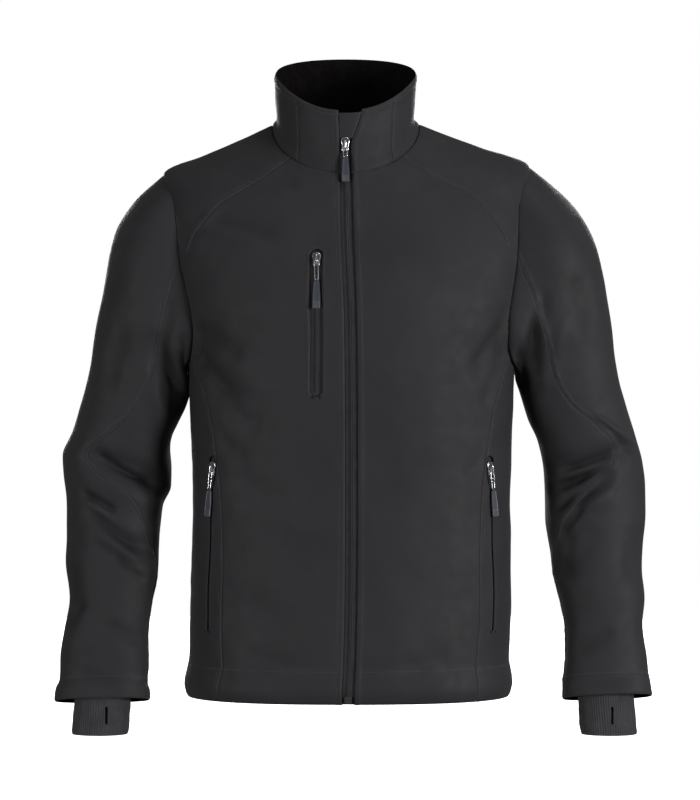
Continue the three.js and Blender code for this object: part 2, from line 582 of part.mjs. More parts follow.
// A panel between two depths below its outer surface; trim leaves the seam gap round it
function panelGeometry(samples, { from = 0, to = WALL, trim = SEAM_GAP / 2 } = {}) {
  const layer = (depth) => samples.map((row) => row.map((s) => s.point.clone().addScaledVector(s.normal, -depth)));
  const outer = layer(from);
  const inner = layer(to);
  if (trim > 0) {
    trimEdges(outer, trim);
    trimEdges(inner, trim);
  }
  return wallGeometry(outer, inner);
}

// Turns a closed mesh so that its faces point out
function outward(geometry) {
  const at = geometry.attributes.position;
  const index = geometry.index.array;
  const [a, b, c] = [new THREE.Vector3(), new THREE.Vector3(), new THREE.Vector3()];
  let volume = 0;
  for (let i = 0; i < index.length; i += 3) {
    [a, b, c].forEach((corner, k) => corner.fromBufferAttribute(at, index[i + k]));
    volume += a.dot(b.cross(c));
  }
  if (volume < 0) {
    for (let i = 0; i < index.length; i += 3) [index[i], index[i + 1]] = [index[i + 1], index[i]];
  }
  return geometry;
}

function toManifold(geometry) {
  return new wasm.Manifold(new wasm.Mesh({
    numProp: 3,
    vertProperties: new Float32Array(geometry.attributes.position.array),
    triVerts: new Uint32Array(geometry.index.array),
  }));
}

function fromManifold(solid) {
  const mesh = solid.getMesh();
  const geometry = new THREE.BufferGeometry();
  geometry.setAttribute("position", new THREE.BufferAttribute(mesh.vertProperties, 3));
  geometry.setIndex(new THREE.BufferAttribute(mesh.triVerts, 1));
  return geometry;
}

const group = new THREE.Group();

function addPiece(name, geometry, finish) {
  const mesh = new THREE.Mesh(outward(geometry), new THREE.MeshStandardMaterial(finish));
  mesh.name = name;
  geometry.computeVertexNormals();
  group.add(mesh);
  return mesh;
}

// Body panels, collar and sleeves as sampled patches, so that shared edges can be mitred
const hands = ["right", "left"];
const forHand = (patch, hand) => (hand === "left" ? patch : mirrorPatch(patch));
const cloth = {};
for (const hand of hands) {
  cloth[`front_${hand}`] = sample(body, forHand(frontPatch, hand));
  cloth[`yoke_${hand}`] = sample(body, forHand(yokePatch, hand));
  cloth[`side_${hand}`] = sample(body, forHand(sidePatch, hand));
}
cloth.back = sample(body, backPatch);

// Collar: the front pieces end at a seam in line with a point of the neck seam
const COLLAR_ROWS = [0, 0.24, 0.42, 0.58, 0.78, 1];
const OPEN_FROM = 0.45; // share of the collar's height where the zip stands open
const OPEN_EDGE = { right: 9, left: 20 }; // distance of the open edges from the centre at the top
const COLLAR_SEAM_COLUMN = 5;

function openWidth(hand, up) {
  return mix(ZIP_OPENING / 2, OPEN_EDGE[hand], fade((up - OPEN_FROM) / (1.05 - OPEN_FROM)) ** 0.8);
}

function collarFrontPatch(hand) {
  return COLLAR_ROWS.map((up) => {
    const edge = bearingAtWidth(collarRing, openWidth(hand, up), up);
    const seam = neckFront[COLLAR_SEAM_COLUMN][0];
    return Array.from({ length: COLLAR_SEAM_COLUMN + 1 }, (_, k) => (
      [up === 0 ? neckFront[k][0] : mix(edge, seam, k / COLLAR_SEAM_COLUMN), up]));
  });
}

const halfRing = joinLines(neckFront.slice(COLLAR_SEAM_COLUMN), neckSide);
const backRing = joinLines(joinLines(halfRing, neckBack), aroundBack([...halfRing].reverse()));
cloth.collar_left = sample(collar, collarFrontPatch("left"));
cloth.collar_right = sample(collar, mirrorPatch(collarFrontPatch("right")));
cloth.collar_back = sample(collar, COLLAR_ROWS.map((up) => backRing.map(([bearing]) => [bearing, up])));

// Sleeves
const OUTER_COLUMNS = (2 * SLEEVE_SEAM_START) / ARMHOLE_STEP;
const INNER_COLUMNS = 360 / ARMHOLE_STEP - OUTER_COLUMNS;

function sleeveStations(hand) {
  const cap = CAP_STEPS.map((share) => share * CAP_LENGTH);
  const rings = SLEEVE_RINGS[hand].map((row) => row.along);
  return [...cap, ...rings, SLEEVE_SEAM_END].sort((a, b) => a - b)
    .filter((along, i, all) => i === 0 || along - all[i - 1] > 8 || along === SLEEVE_SEAM_END);
}

function sleevePatch(hand, inner) {
  const stations = sleeveStations(hand).filter((along) => !inner || along <= SLEEVE_SEAM_END);
  return stations.map((along) => {
    const seam = along <= SLEEVE_SEAM_END ? sleeveSeamAt(along).round : 180;
    const [from, to] = inner ? [360 - seam, seam] : [seam, -seam];
    const columns = inner ? INNER_COLUMNS : OUTER_COLUMNS;
    return Array.from({ length: columns + 1 }, (_, i) => [mix(from, to, i / columns), along]);
  });
}

for (const hand of hands) {
  cloth[`sleeve_outer_${hand}`] = sample(sleeve[hand], sleevePatch(hand, false));
  cloth[`sleeve_inner_${hand}`] = sample(sleeve[hand], sleevePatch(hand, true));
}

// Samples that share a point are where two pieces are sewn together
function mitreSharedPoints(grids) {
  const edgeSamples = grids.flatMap((grid) => grid.flatMap((row, j) =>
    row.filter((_, i) => j === 0 || i === 0 || j === grid.length - 1 || i === row.length - 1)));
  const groups = [];
  for (const found of edgeSamples) {
    const mates = groups.find((mate) => mate[0].point.distanceToSquared(found.point) < SAME_POINT ** 2);
    if (mates) mates.push(found);
    else groups.push([found]);
  }
  for (const mates of groups) {
    const shared = mates.reduce((sum, mate) => sum.add(mate.normal), new THREE.Vector3()).normalize();
    mates.forEach((mate) => mate.normal.copy(shared));
  }
}
mitreSharedPoints(Object.values(cloth));

const SLEEVE_TRIM = SEAM_GAP / 2 + 0.08; // the sleeve turns sharply away from the body at its seam
const panels = {};
for (const [name, samples] of Object.entries(cloth)) {
  const wall = name.startsWith("collar") ? COLLAR_WALL : WALL;
  panels[name] = panelGeometry(samples, { to: wall, trim: name.startsWith("sleeve") ? SLEEVE_TRIM : SEAM_GAP / 2 });
}

// Pocket zips: a ribbon of body coordinates beside a line, between two distances from it
function ribbon(line, from, to, columns, widthAt = () => 1) {
  return line.map(([bearing, up], j) => {
    const step = 0.5;
    const perDegree = body.bare(bearing + step, up).distanceTo(body.bare(bearing - step, up)) / (2 * step);
    const spread = widthAt(j / (line.length - 1)) / perDegree;
    return Array.from({ length: columns + 1 }, (_, i) => [bearing + mix(from, to, i / columns) * spread, up]);
  });
}
const zipLine = (table, count) => lineOnBody(table.map((p) => onBody(p.out, p.z)).reverse(), count);
const roundEnds = (share) => Math.min(1, 0.35 + 16 * Math.min(share, 1 - share));
// Share 0 is the foot of the zip: narrow there, and wide round the slider at its head
const nearlyClosed = (share) => roundEnds(share) * mix(HAND_ZIP_CLOSED, 1, fade((share - 0.78) / 0.1));
const POCKET_ZIP_STEPS = 11;

function cutPocket(panelName, table, hand, opening, widthAt) {
  const line = zipLine(table, POCKET_ZIP_STEPS * 2);
  const slot = sample(body, forHand(ribbon(line, -opening / 2, opening / 2, 2, widthAt), hand));
  const cutter = outward(panelGeometry(slot, { from: -8, to: 10, trim: 0 }));
  panels[panelName] = fromManifold(toManifold(outward(panels[panelName])).subtract(toManifold(cutter)));
}

function addPocketZip(name, table, hand, opening, behind) {
  const line = zipLine(table, POCKET_ZIP_STEPS);
  const reach = opening / 2 + TAPE_OVERLAP;
  const tape = sample(body, forHand(ribbon(line, -reach, reach, 4), hand));
  const depth = WALL + behind;
  addPiece(`${name}_tape`, panelGeometry(tape, { from: depth, to: depth + TAPE_WALL }), TAPE);
  const inside = line.slice(1, -1);
  const chain = sample(body, forHand(ribbon(inside, -CHAIN_WIDTH / 2, CHAIN_WIDTH / 2, 1), hand));
  const chainDepth = depth - SEAM_GAP - CHAIN_WALL;
  addPiece(`${name}_chain`, panelGeometry(chain, { from: chainDepth, to: chainDepth + CHAIN_WALL }), COIL);
  return chainDepth;
}

// Front zip: lines run up the body and on up the collar, where the two halves part
const COLLAR_SUNK = COLLAR_WALL - WALL + 0.3; // how much deeper the zip lies behind the collar
const COLLAR_TAPE_TOP = 0.96;
const zipStations = [
  ...zipEdge.slice(0, -1).map(([, up]) => ({ ring: bodyRing, surface: body, up, sunk: 0 })),
  { ring: collarRing, surface: collar, up: 0, sunk: COLLAR_SUNK, atSeam: true },
  ...[...COLLAR_ROWS.slice(1, -1), COLLAR_TAPE_TOP].map((up) => (
    { ring: collarRing, surface: collar, up, sunk: COLLAR_SUNK })),
];

function zipSamples(stations, hand, from, to, columns) {
  const sign = hand === "left" ? 1 : -1;
  return stations.map(({ ring, surface, up, sunk, atSeam }) => {
    const parted = surface === collar ? openWidth(hand, up) - ZIP_OPENING / 2 : 0;
    return Array.from({ length: columns + 1 }, (_, i) => {
      const x = sign * (mix(from, to, i / columns) + parted);
      const bearing = bearingAtWidth(ring, x, up);
      const normal = surface.normal(bearing, up);
      if (atSeam) normal.add(body.normal(bearing, NECK)).normalize();
      return { point: surface.bare(bearing, up).addScaledVector(normal, -sunk), normal };
    });
  });
}

const TAPE_DEPTH = WALL + BEHIND_GAP;
const CHAIN_DEPTH = TAPE_DEPTH - SEAM_GAP - CHAIN_WALL;
const OPEN_TEETH = 2.6;
const SLIDER_UP = 0.46; // share of the collar's height where the slider stands
for (const hand of hands) {
  addPiece(`zip_tape_${hand}`, panelGeometry(zipSamples(zipStations, hand, 0.25, TAPE_REACH, 3),
    { from: TAPE_DEPTH, to: TAPE_DEPTH + TAPE_WALL }), TAPE);
  const open = zipStations.filter((station) => station.surface === collar && station.up > SLIDER_UP + 0.1);
  addPiece(`zip_teeth_${hand}`, panelGeometry(zipSamples(open, hand, 0.4, OPEN_TEETH, 1),
    { from: CHAIN_DEPTH, to: CHAIN_DEPTH + CHAIN_WALL }), COIL);
}
const closedStations = zipStations.filter((station) => station.surface === body || station.up < SLIDER_UP);
addPiece("zip_chain", panelGeometry(zipSamples(closedStations, "left", -CHAIN_WIDTH / 2, CHAIN_WIDTH / 2, 2),
  { from: CHAIN_DEPTH, to: CHAIN_DEPTH + CHAIN_WALL }), COIL);

// Chin guard: a flap behind the top of the zip, seen where the collar stands open
const GUARD = { fromX: -13, toX: 27, low: 0.3, high: 0.96, wall: 1.6 };
const guardDepth = TAPE_DEPTH + COLLAR_SUNK + TAPE_WALL + SEAM_GAP + 0.15;
const guardRows = [0, 0.25, 0.5, 0.75, 1].map((share) => mix(GUARD.low, GUARD.high, share));
addPiece("chin_guard", panelGeometry(sample(collar, guardRows.map((up) =>
  [0, 0.25, 0.5, 0.75, 1].map((share) => [bearingAtWidth(collarRing, mix(GUARD.fromX, GUARD.toX, share), up), up]))),
{ from: guardDepth, to: guardDepth + GUARD.wall }), CLOTH);

const CHEST_BEHIND = 0.9;
const HAND_BEHIND = 1.7;
cutPocket("front_right", CHEST_ZIP, "right", CHEST_ZIP_OPENING, roundEnds);
for (const hand of hands) cutPocket(`side_${hand}`, HAND_ZIP, hand, HAND_ZIP_OPENING, nearlyClosed);
for (const [name, geometry] of Object.entries(panels)) addPiece(name, geometry, CLOTH);

// Inner cuffs: knit tubes sewn to the inside of each sleeve, with a slit for the thumb
function boxGeometry(low, high) {
  const face = (y) => [low[2], high[2]].map((z) => [low[0], high[0]].map((x) => new THREE.Vector3(x, y, z)));
  return outward(wallGeometry(face(low[1]), face(high[1])));
}

const CUFF_ROWS = [0, 0.16, 0.34, 0.5, 0.75, 1];
for (const hand of hands) {
  const sign = hand === "left" ? 1 : -1;
  const sizes = INNER_CUFF[hand];
  const seamAlong = SLEEVE_RINGS[hand][CUFF_SEAM_RING].along;
  const ringPointAt = (round, share) => new THREE.Vector3(
    sign * (mix(sizes.topX, sizes.endX, share) + CUFF_HALF_WIDTH * Math.cos(radians(round))),
    mix(CUFF_Y.top, CUFF_Y.end, share) - CUFF_HALF_DEPTH * Math.sin(radians(round)),
    mix(CUFF_TOP_Z, sizes.endZ, share));
  const knit = new Surface((round, down) => {
    if (down >= 0.5) return ringPointAt(round, (down - 0.5) * 2);
    const start = sleeve[hand].bare(round, seamAlong)
      .addScaledVector(sleeve[hand].normal(round, seamAlong), -(WALL + SEAM_GAP));
    return start.lerp(ringPointAt(round, 0), fade(down * 2));
  }, [0.5, 0.01]);
  const patch = CUFF_ROWS.map((down) =>
    Array.from({ length: OUTER_COLUMNS + 1 }, (_, i) => [mix(180, -180, i / OUTER_COLUMNS), clamp(down, 0.011, 0.989)]));
  const samples = sample(knit, patch);
  samples.flat().forEach((s) => s.normal.multiplyScalar(sign));
  const slitX = sign * (mix(sizes.topX, sizes.endX, 0.5) + THUMB_SLIT.offset[hand]);
  const slitTop = sizes.endZ + THUMB_SLIT.fromEnd + THUMB_SLIT.tall;
  const slit = boxGeometry(
    [slitX - THUMB_SLIT.wide / 2, -110, slitTop - THUMB_SLIT.tall], [slitX + THUMB_SLIT.wide / 2, CUFF_Y.end, slitTop]);
  const tube = outward(panelGeometry(samples, { to: KNIT_WALL }));
  addPiece(`knit_cuff_${hand}`, fromManifold(toManifold(tube).subtract(toManifold(slit))), KNIT);
}

// A slider stands on the chain; its pull hangs from a bar under the bridge.
// Local directions: across the zip, up along it, and out of the cloth.
function outline(points) {
  const shape = new THREE.Shape();
  points.forEach(([x, y], i) => (i === 0 ? shape.moveTo(x, y) : shape.lineTo(x, y)));
  shape.closePath();
  return shape;
}

function extruded(shape, depth) {
  const geometry = new THREE.ExtrudeGeometry(shape, { depth, bevelEnabled: false, curveSegments: 4 });
  geometry.deleteAttribute("normal");
  geometry.deleteAttribute("uv");
  return mergeVertices(geometry, 1e-4);
}

function sliderGeometry(base) {
  const { wide, narrow, tall, thick } = SLIDER;
  const plate = extruded(outline([
    [-narrow / 2 + 1, -tall / 2], [narrow / 2 - 1, -tall / 2], [narrow / 2, -tall / 2 + 1.4], [narrow / 2, 0],
    [wide / 2, tall / 2 - 4.5], [wide / 2 - 1, tall / 2 - 1], [wide / 2 - 3, tall / 2],
    [-wide / 2 + 3, tall / 2], [-wide / 2 + 1, tall / 2 - 1], [-wide / 2, tall / 2 - 4.5], [-narrow / 2, 0],
    [-narrow / 2, -tall / 2 + 1.4],
  ]), thick);
  plate.translate(0, 0, base);
  const half = BRIDGE.tall / 2;
  const arch = outline([
    [-half, -0.5], [-half, BRIDGE.high - 1.2], [-half + 1.2, BRIDGE.high], [half - 1.2, BRIDGE.high],
    [half, BRIDGE.high - 1.2], [half, -0.5],
  ]);
  arch.holes.push(outline([
    [-half + BRIDGE.bar, 0.3], [half - BRIDGE.bar, 0.3], [half - BRIDGE.bar, BRIDGE.high - 1.9],
    [half - BRIDGE.bar - 0.7, BRIDGE.high - BRIDGE.bar], [-half + BRIDGE.bar + 0.7, BRIDGE.high - BRIDGE.bar],
    [-half + BRIDGE.bar, BRIDGE.high - 1.9],
  ]));
  const bridge = extruded(arch, BRIDGE.wide);
  // The arch is drawn along the zip and out of it, then stood across the plate
  bridge.applyMatrix4(new THREE.Matrix4().makeBasis(
    new THREE.Vector3(0, 1, 0), new THREE.Vector3(0, 0, 1), new THREE.Vector3(1, 0, 0)));
  bridge.translate(-BRIDGE.wide / 2, 0, base + thick - 0.2);
  return fromManifold(toManifold(outward(plate)).add(toManifold(outward(bridge))));
}

function linkGeometry(length) {
  const half = LINK.wide / 2;
  const top = LINK.bar / 2;
  const ring = outline([
    [-half, top - 0.9], [-half + 0.9, top], [half - 0.9, top], [half, top - 0.9],
    [half - 0.6, top - length], [-half + 0.6, top - length],
  ]);
  const inside = half - LINK.bar;
  const foot = top - length + LINK.bar;
  ring.holes.push(outline([[-inside, -top], [-inside + 0.5, foot], [inside - 0.5, foot], [inside, -top]]));
  const geometry = extruded(ring, LINK.thick);
  geometry.translate(0, 0, -LINK.thick / 2);
  return geometry;
}

function tabGeometry({ link, tab: length }) {
  const top = LINK.bar / 2 - link - SEAM_GAP;
  const [a, b] = [TAB.top / 2, TAB.bottom / 2];
  const geometry = extruded(outline([
    [-a + 1.6, top], [a - 1.6, top], [a, top - 2.5], [b, top - length + 1.2], [b - 1.2, top - length],
    [-b + 1.2, top - length], [-b, top - length + 1.2], [-a, top - 2.5],
  ]), TAB.thick);
  geometry.translate(0, 0, -TAB.thick / 2);
  return geometry;
}

function addSlider(name, seat, restingPoint, base, pull) {
  const { point, out, up } = seat;
  const across = up.clone().cross(out).normalize();
  const place = new THREE.Matrix4().makeBasis(across, up, out).setPosition(point);
  addPiece(`${name}_slider`, sliderGeometry(base).applyMatrix4(place), METAL);
  const barUp = -BRIDGE.tall / 2 + BRIDGE.bar + 1.2;
  const barOut = base + SLIDER.thick - 0.2 + (BRIDGE.high - BRIDGE.bar + 0.3) / 2;
  const pivot = point.clone().addScaledVector(up, barUp).addScaledVector(out, barOut);
  const hang = pivot.clone().sub(restingPoint).normalize();
  const pullOut = across.clone().cross(hang).normalize();
  const hung = new THREE.Matrix4().makeBasis(across, hang, pullOut).setPosition(pivot);
  const link = addPiece(`${name}_pull_link`, linkGeometry(pull.link).applyMatrix4(hung), METAL);
  addPiece(`${name}_pull_tab`, tabGeometry(pull).applyMatrix4(hung), RUBBER);
  link.userData.pivot = pivot.toArray();
  link.userData.axis = across.clone().negate().toArray();
}

// A place on a surface, with its directions; the zip runs along v
function seatOn(surface, u, v, step) {
  const out = surface.normal(u, v);
  const along = surface.bare(u, v + step).sub(surface.bare(u, v - step));
  return { point: surface.bare(u, v), out, up: along.addScaledVector(out, -along.dot(out)).normalize() };
}
const pullReach = (pull) => pull.link + SEAM_GAP + pull.tab;
const TAB_CLEARANCE = 2.6;
const aboveCloth = (surface, u, v) =>
  surface.bare(u, v).addScaledVector(surface.normal(u, v), TAB.thick / 2 + TAB_CLEARANCE);

const sliderDepth = (chainDepth) => -(chainDepth - SEAM_GAP);
const frontSeat = seatOn(collar, bearingAtWidth(collarRing, -0.01, SLIDER_UP), SLIDER_UP, 0.02);
const frontTabEnd = solveRising((up) => body.bare(0, up).z, frontSeat.point.z - pullReach(PULLS.front) * 0.97, 0, NECK);
addSlider("front", frontSeat, aboveCloth(body, 0, frontTabEnd),
  sliderDepth(CHAIN_DEPTH + COLLAR_SUNK), PULLS.front);

const CHEST_SLIDER_Z = -170;
const HAND_SLIDER_Z = -424;
function pocketSeat(table, z, hand) {
  const sign = hand === "left" ? 1 : -1;
  const at = (height) => {
    const [bearing, up] = onBody(tableCurve([...table].reverse(), "z")(height).out, height);
    return [sign * bearing, up];
  };
  const seat = seatOn(body, ...at(z), 2);
  const higher = body.bare(...at(z + 4));
  seat.up = higher.sub(seat.point).normalize();
  seat.out = seat.out.addScaledVector(seat.up, -seat.out.dot(seat.up)).normalize();
  return { seat, end: (pull) => aboveCloth(body, ...at(z - pullReach(pull))) };
}
const chest = pocketSeat(CHEST_ZIP, CHEST_SLIDER_Z, "right");
const chestDepth = addPocketZip("chest_zip", CHEST_ZIP, "right", CHEST_ZIP_OPENING, CHEST_BEHIND);
addSlider("chest", chest.seat, chest.end(PULLS.chest), sliderDepth(chestDepth), PULLS.chest);
for (const hand of hands) {
  const pocket = pocketSeat(HAND_ZIP, HAND_SLIDER_Z, hand);
  const depth = addPocketZip(`hand_zip_${hand}`, HAND_ZIP, hand, HAND_ZIP_OPENING, HAND_BEHIND);
  addSlider(`hand_${hand}`, pocket.seat, pocket.end(PULLS.hand), sliderDepth(depth), PULLS.hand);
}

export default group;
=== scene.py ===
"""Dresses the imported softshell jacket: cloth, stitching, zips, pulls, knit cuffs, light and camera.

Lengths in the tables are millimetres in the part's own frame: +Z up, the front faces -Y, and the
wearer's left arm is at +X. Meshes are made in metres.
"""

import logging
import math
from dataclasses import dataclass
from enum import Enum
from functools import partial
from typing import Callable, Iterable, Optional, Sequence

import bmesh
import bpy
import numpy as np
from mathutils import Matrix, Vector
from mathutils.kdtree import KDTree


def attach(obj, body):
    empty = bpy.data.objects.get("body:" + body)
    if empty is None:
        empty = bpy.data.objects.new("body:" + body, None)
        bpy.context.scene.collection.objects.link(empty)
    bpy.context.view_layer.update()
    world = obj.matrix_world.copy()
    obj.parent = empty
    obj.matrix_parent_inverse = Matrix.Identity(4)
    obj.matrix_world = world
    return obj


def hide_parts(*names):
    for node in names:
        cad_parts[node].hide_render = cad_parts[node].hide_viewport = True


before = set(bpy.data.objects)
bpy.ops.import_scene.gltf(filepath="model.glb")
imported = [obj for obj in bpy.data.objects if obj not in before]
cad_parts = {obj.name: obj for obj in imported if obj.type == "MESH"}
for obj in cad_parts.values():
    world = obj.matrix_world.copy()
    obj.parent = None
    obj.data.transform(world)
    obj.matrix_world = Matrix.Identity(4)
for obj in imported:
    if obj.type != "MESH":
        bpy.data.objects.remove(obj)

Array = np.ndarray
Pair = tuple[Array, Array]
Mesh = bpy.types.Mesh
Piece = bpy.types.Object
Socket = bpy.types.NodeSocket
LOG = logging.getLogger("softshell")
logging.basicConfig(level=logging.INFO, format="%(name)s: %(message)s")

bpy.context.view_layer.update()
MM = 0.001
WALL = 2.0
COLLAR_WALL = 3.0
KNIT_WALL = 1.6
ZIP_OPENING = 14.4
NECK = 790.0
JACKET = "jacket"
HANDS = ("right", "left")
SIGN = {"right": -1.0, "left": 1.0}
FLIP = np.array([-1, 1])

# About how many millimetres of cloth one degree of bearing covers, for even spacing only
PER_DEGREE = 2.6
EVEN = np.array([PER_DEGREE, 1])

# Least share of its rectangle that a cut piece may be said to fill, and the least width stated
LEAST_WIDTH = 0.0101

BODY_COLUMNS = "up z_side z_front z_back half front back square bend shift middle tilt"
BODY_RINGS = (
    (0, -707, -707, -707, 201, 123, 118, 2.5, 1.5, -3.5, 0, 0),
    (16, -691, -691, -691, 204.5, 127, 121, 2.5, 1.5, -3.5, 0, 0),
    (47, -660, -660, -660, 200, 121.5, 118, 2.5, 1.5, -2, 0, 0),
    (130, -577, -577, -577, 199.5, 119, 116, 2.5, 1.5, 0, 0, 0),
    (242, -465, -465, -465, 198, 119, 112, 2.5, 1.5, 0.5, 0, 0),
    (330, -377, -377, -377, 200.5, 124, 117, 2.5, 1.5, 0.5, 0, 0),
    (412, -295, -295, -295, 204, 130, 124, 2.5, 1.5, 0, 0, 0),
    (482, -225, -230, -225, 212, 130, 128, 2.5, 1.5, -1, 1, 0.004),
    (550, -155, -182, -150, 224, 122, 126, 2.45, 1.4, -3, 3, 0.012),
    (605, -98, -142, -92, 230, 109, 119, 2.3, 1.3, -4.5, 6, 0.02),
    (650, -53, -110, -48, 229, 97, 106, 2.15, 1.2, -5.5, 8, 0.022),
    (715, -27, -84, -14, 168, 88, 89, 2.05, 1.1, -6, 6, 0.018),
    (790, 4, -63, 14, 93, 78, 70, 2.0, 1.0, -6.5, 4, 0.006),
)
COLLAR_RINGS = (
    (0, 4, -63, 14, 93, 78, 70, 2.0, 1.0, -6.5, 4, 0.006, 1.0),
    (0.22, 13, -46, 32, 86, 76, 69, 2.05, 1.15, -7, 4, 0.004, 1.0),
    (0.6, 38, -17, 62, 87.5, 76, 72, 2.1, 1.5, -7, 4, 0.002, 0.9),
    (1, 65, 14, 96, 88.5, 77, 75, 2.15, 1.7, -6.5, 4, 0, 0.8),
)
ARMHOLE = (
    (0, 91, 650), (30, 80.5, 635), (60, 75.5, 593), (90, 73.5, 534), (120, 71.5, 470),
    (150, 76, 420), (180, 91, 405), (210, 106, 424), (240, 110, 475), (270, 109.5, 536),
    (300, 107, 594), (330, 101.5, 635), (360, 91, 650),
)
YOKE_SEAM = ((69, -42), (98, -62), (131, -82), (163, -104), (187, -134), (199, -158))
SIDE_SEAM = (
    (177, -340), (164, -412), (157, -496), (156.5, -550), (157, -612), (155.5, -676), (155, -706.9),
)
YOKE_END_FRONT = 72
YOKE_END_BACK = -72
SIDE_SEAM_FRONT = 144
SIDE_SEAM_BACK = 216

SLEEVE_COLUMNS = "along out_x out_z in_x in_z y deep"
SLEEVE_RINGS = {
    "right": (
        (110, 312, -215, 207, -331, 7, 63), (136, 319, -252, 212, -346, 10, 62),
        (173, 328, -300, 221.5, -370, 13, 61), (206, 340, -346, 226, -388, 17, 60),
        (231, 350, -378, 228, -405, 20, 60), (258, 362, -409, 226.5, -428, 22, 59),
        (281, 361, -434, 227, -448, 21, 57), (308, 357, -466, 237, -471, 17, 54),
        (345, 356, -503, 240.5, -508, 10, 51), (389, 355.5, -546, 241.5, -552, 0, 48),
        (432, 350.5, -589, 248, -594, -10, 44), (468, 356, -625.5, 251.5, -629, -19, 40),
        (504, 360, -662, 250.5, -664.5, -28, 36), (529, 359.5, -687, 252, -690, -34, 33),
        (538, 363, -696, 249, -698.5, -36, 33), (552, 366, -712, 248.5, -710, -39, 32),
    ),
    "left": (
        (110, 321, -215, 207, -319, 7, 63), (136, 327, -256, 211, -330, 10, 62),
        (173, 334, -300, 216, -346, 13, 61), (206, 343.5, -340, 222.5, -366, 17, 60),
        (237, 355, -380, 234, -392, 20, 60), (270, 366, -418, 241.5, -428, 22, 59),
        (298, 369.5, -447, 244, -459, 20, 57), (326, 370, -478, 244.5, -485, 16, 54),
        (367, 366, -522, 249.5, -526, 8, 50), (400, 364, -555, 253, -558, 1, 47),
        (434, 365.5, -589, 261, -592, -8, 43), (468, 362, -623, 265.5, -626, -17, 39),
        (501, 366, -656, 265, -658.5, -26, 36), (523, 367.5, -678, 262.5, -680.5, -32, 33),
        (534, 369.5, -688, 261.5, -691, -35, 33), (550, 372, -705, 261.5, -709, -39, 32),
    ),
}
SLEEVE_SQUARE = 2.25
CAP_LENGTH = 110.0
HEAD_PLAIN = 60
CAP_LIFT = {"top": 0.5, "under": 0.4}
CAP_FULLNESS = {"top": 1.6, "under": 1.0}
UPPER_ARM = np.array([0.2, 0.0, -0.98])
SLEEVE_SEAM = (
    (0, 84), (60, 101), (110, 109), (150, 107), (190, 95), (220, 76), (247, 60), (266, 70),
    (290, 97), (318, 122), (352, 146), (390, 170), (412, 179),
)
SLEEVE_SEAM_END = 412.0
CUFF_SEAM_RING = 12

# Large folds, as in the solids: face, from (x1, z1) to (x2, z2), depth (in is negative), width
FOLDS = {
    "right": (
        ("front", 232, -446, 326, -408, -9, 13), ("front", 240, -470, 336, -432, 5, 14),
        ("front", 244, -530, 306, -478, -5, 13), ("front", 246, -560, 330, -506, 4, 15),
        ("front", 214, -352, 250, -262, -5, 14), ("back", 232, -448, 338, -418, -6, 15),
        ("back", 240, -500, 330, -462, 4, 16),
    ),
    "left": (
        ("front", 246, -428, 352, -398, -7, 14), ("front", 250, -462, 322, -436, -8, 14),
        ("front", 250, -500, 330, -452, 5, 15), ("front", 262, -560, 300, -500, -4, 14),
        ("front", 296, -250, 276, -190, -4, 16), ("back", 246, -446, 350, -414, -6, 15),
        ("back", 250, -500, 340, -458, 4, 16),
    ),
    "body": (
        ("front", -172, -318, -110, -378, -4, 17), ("front", -166, -276, -100, -332, 3, 17),
        ("front", 196, -268, 150, -322, -3.5, 16), ("front", -142, -432, -86, -470, -3, 18),
        ("back", -180, -470, 180, -486, -4, 24), ("back", -190, -300, -110, -360, -4, 18),
        ("back", 190, -300, 110, -360, -4, 18),
    ),
}

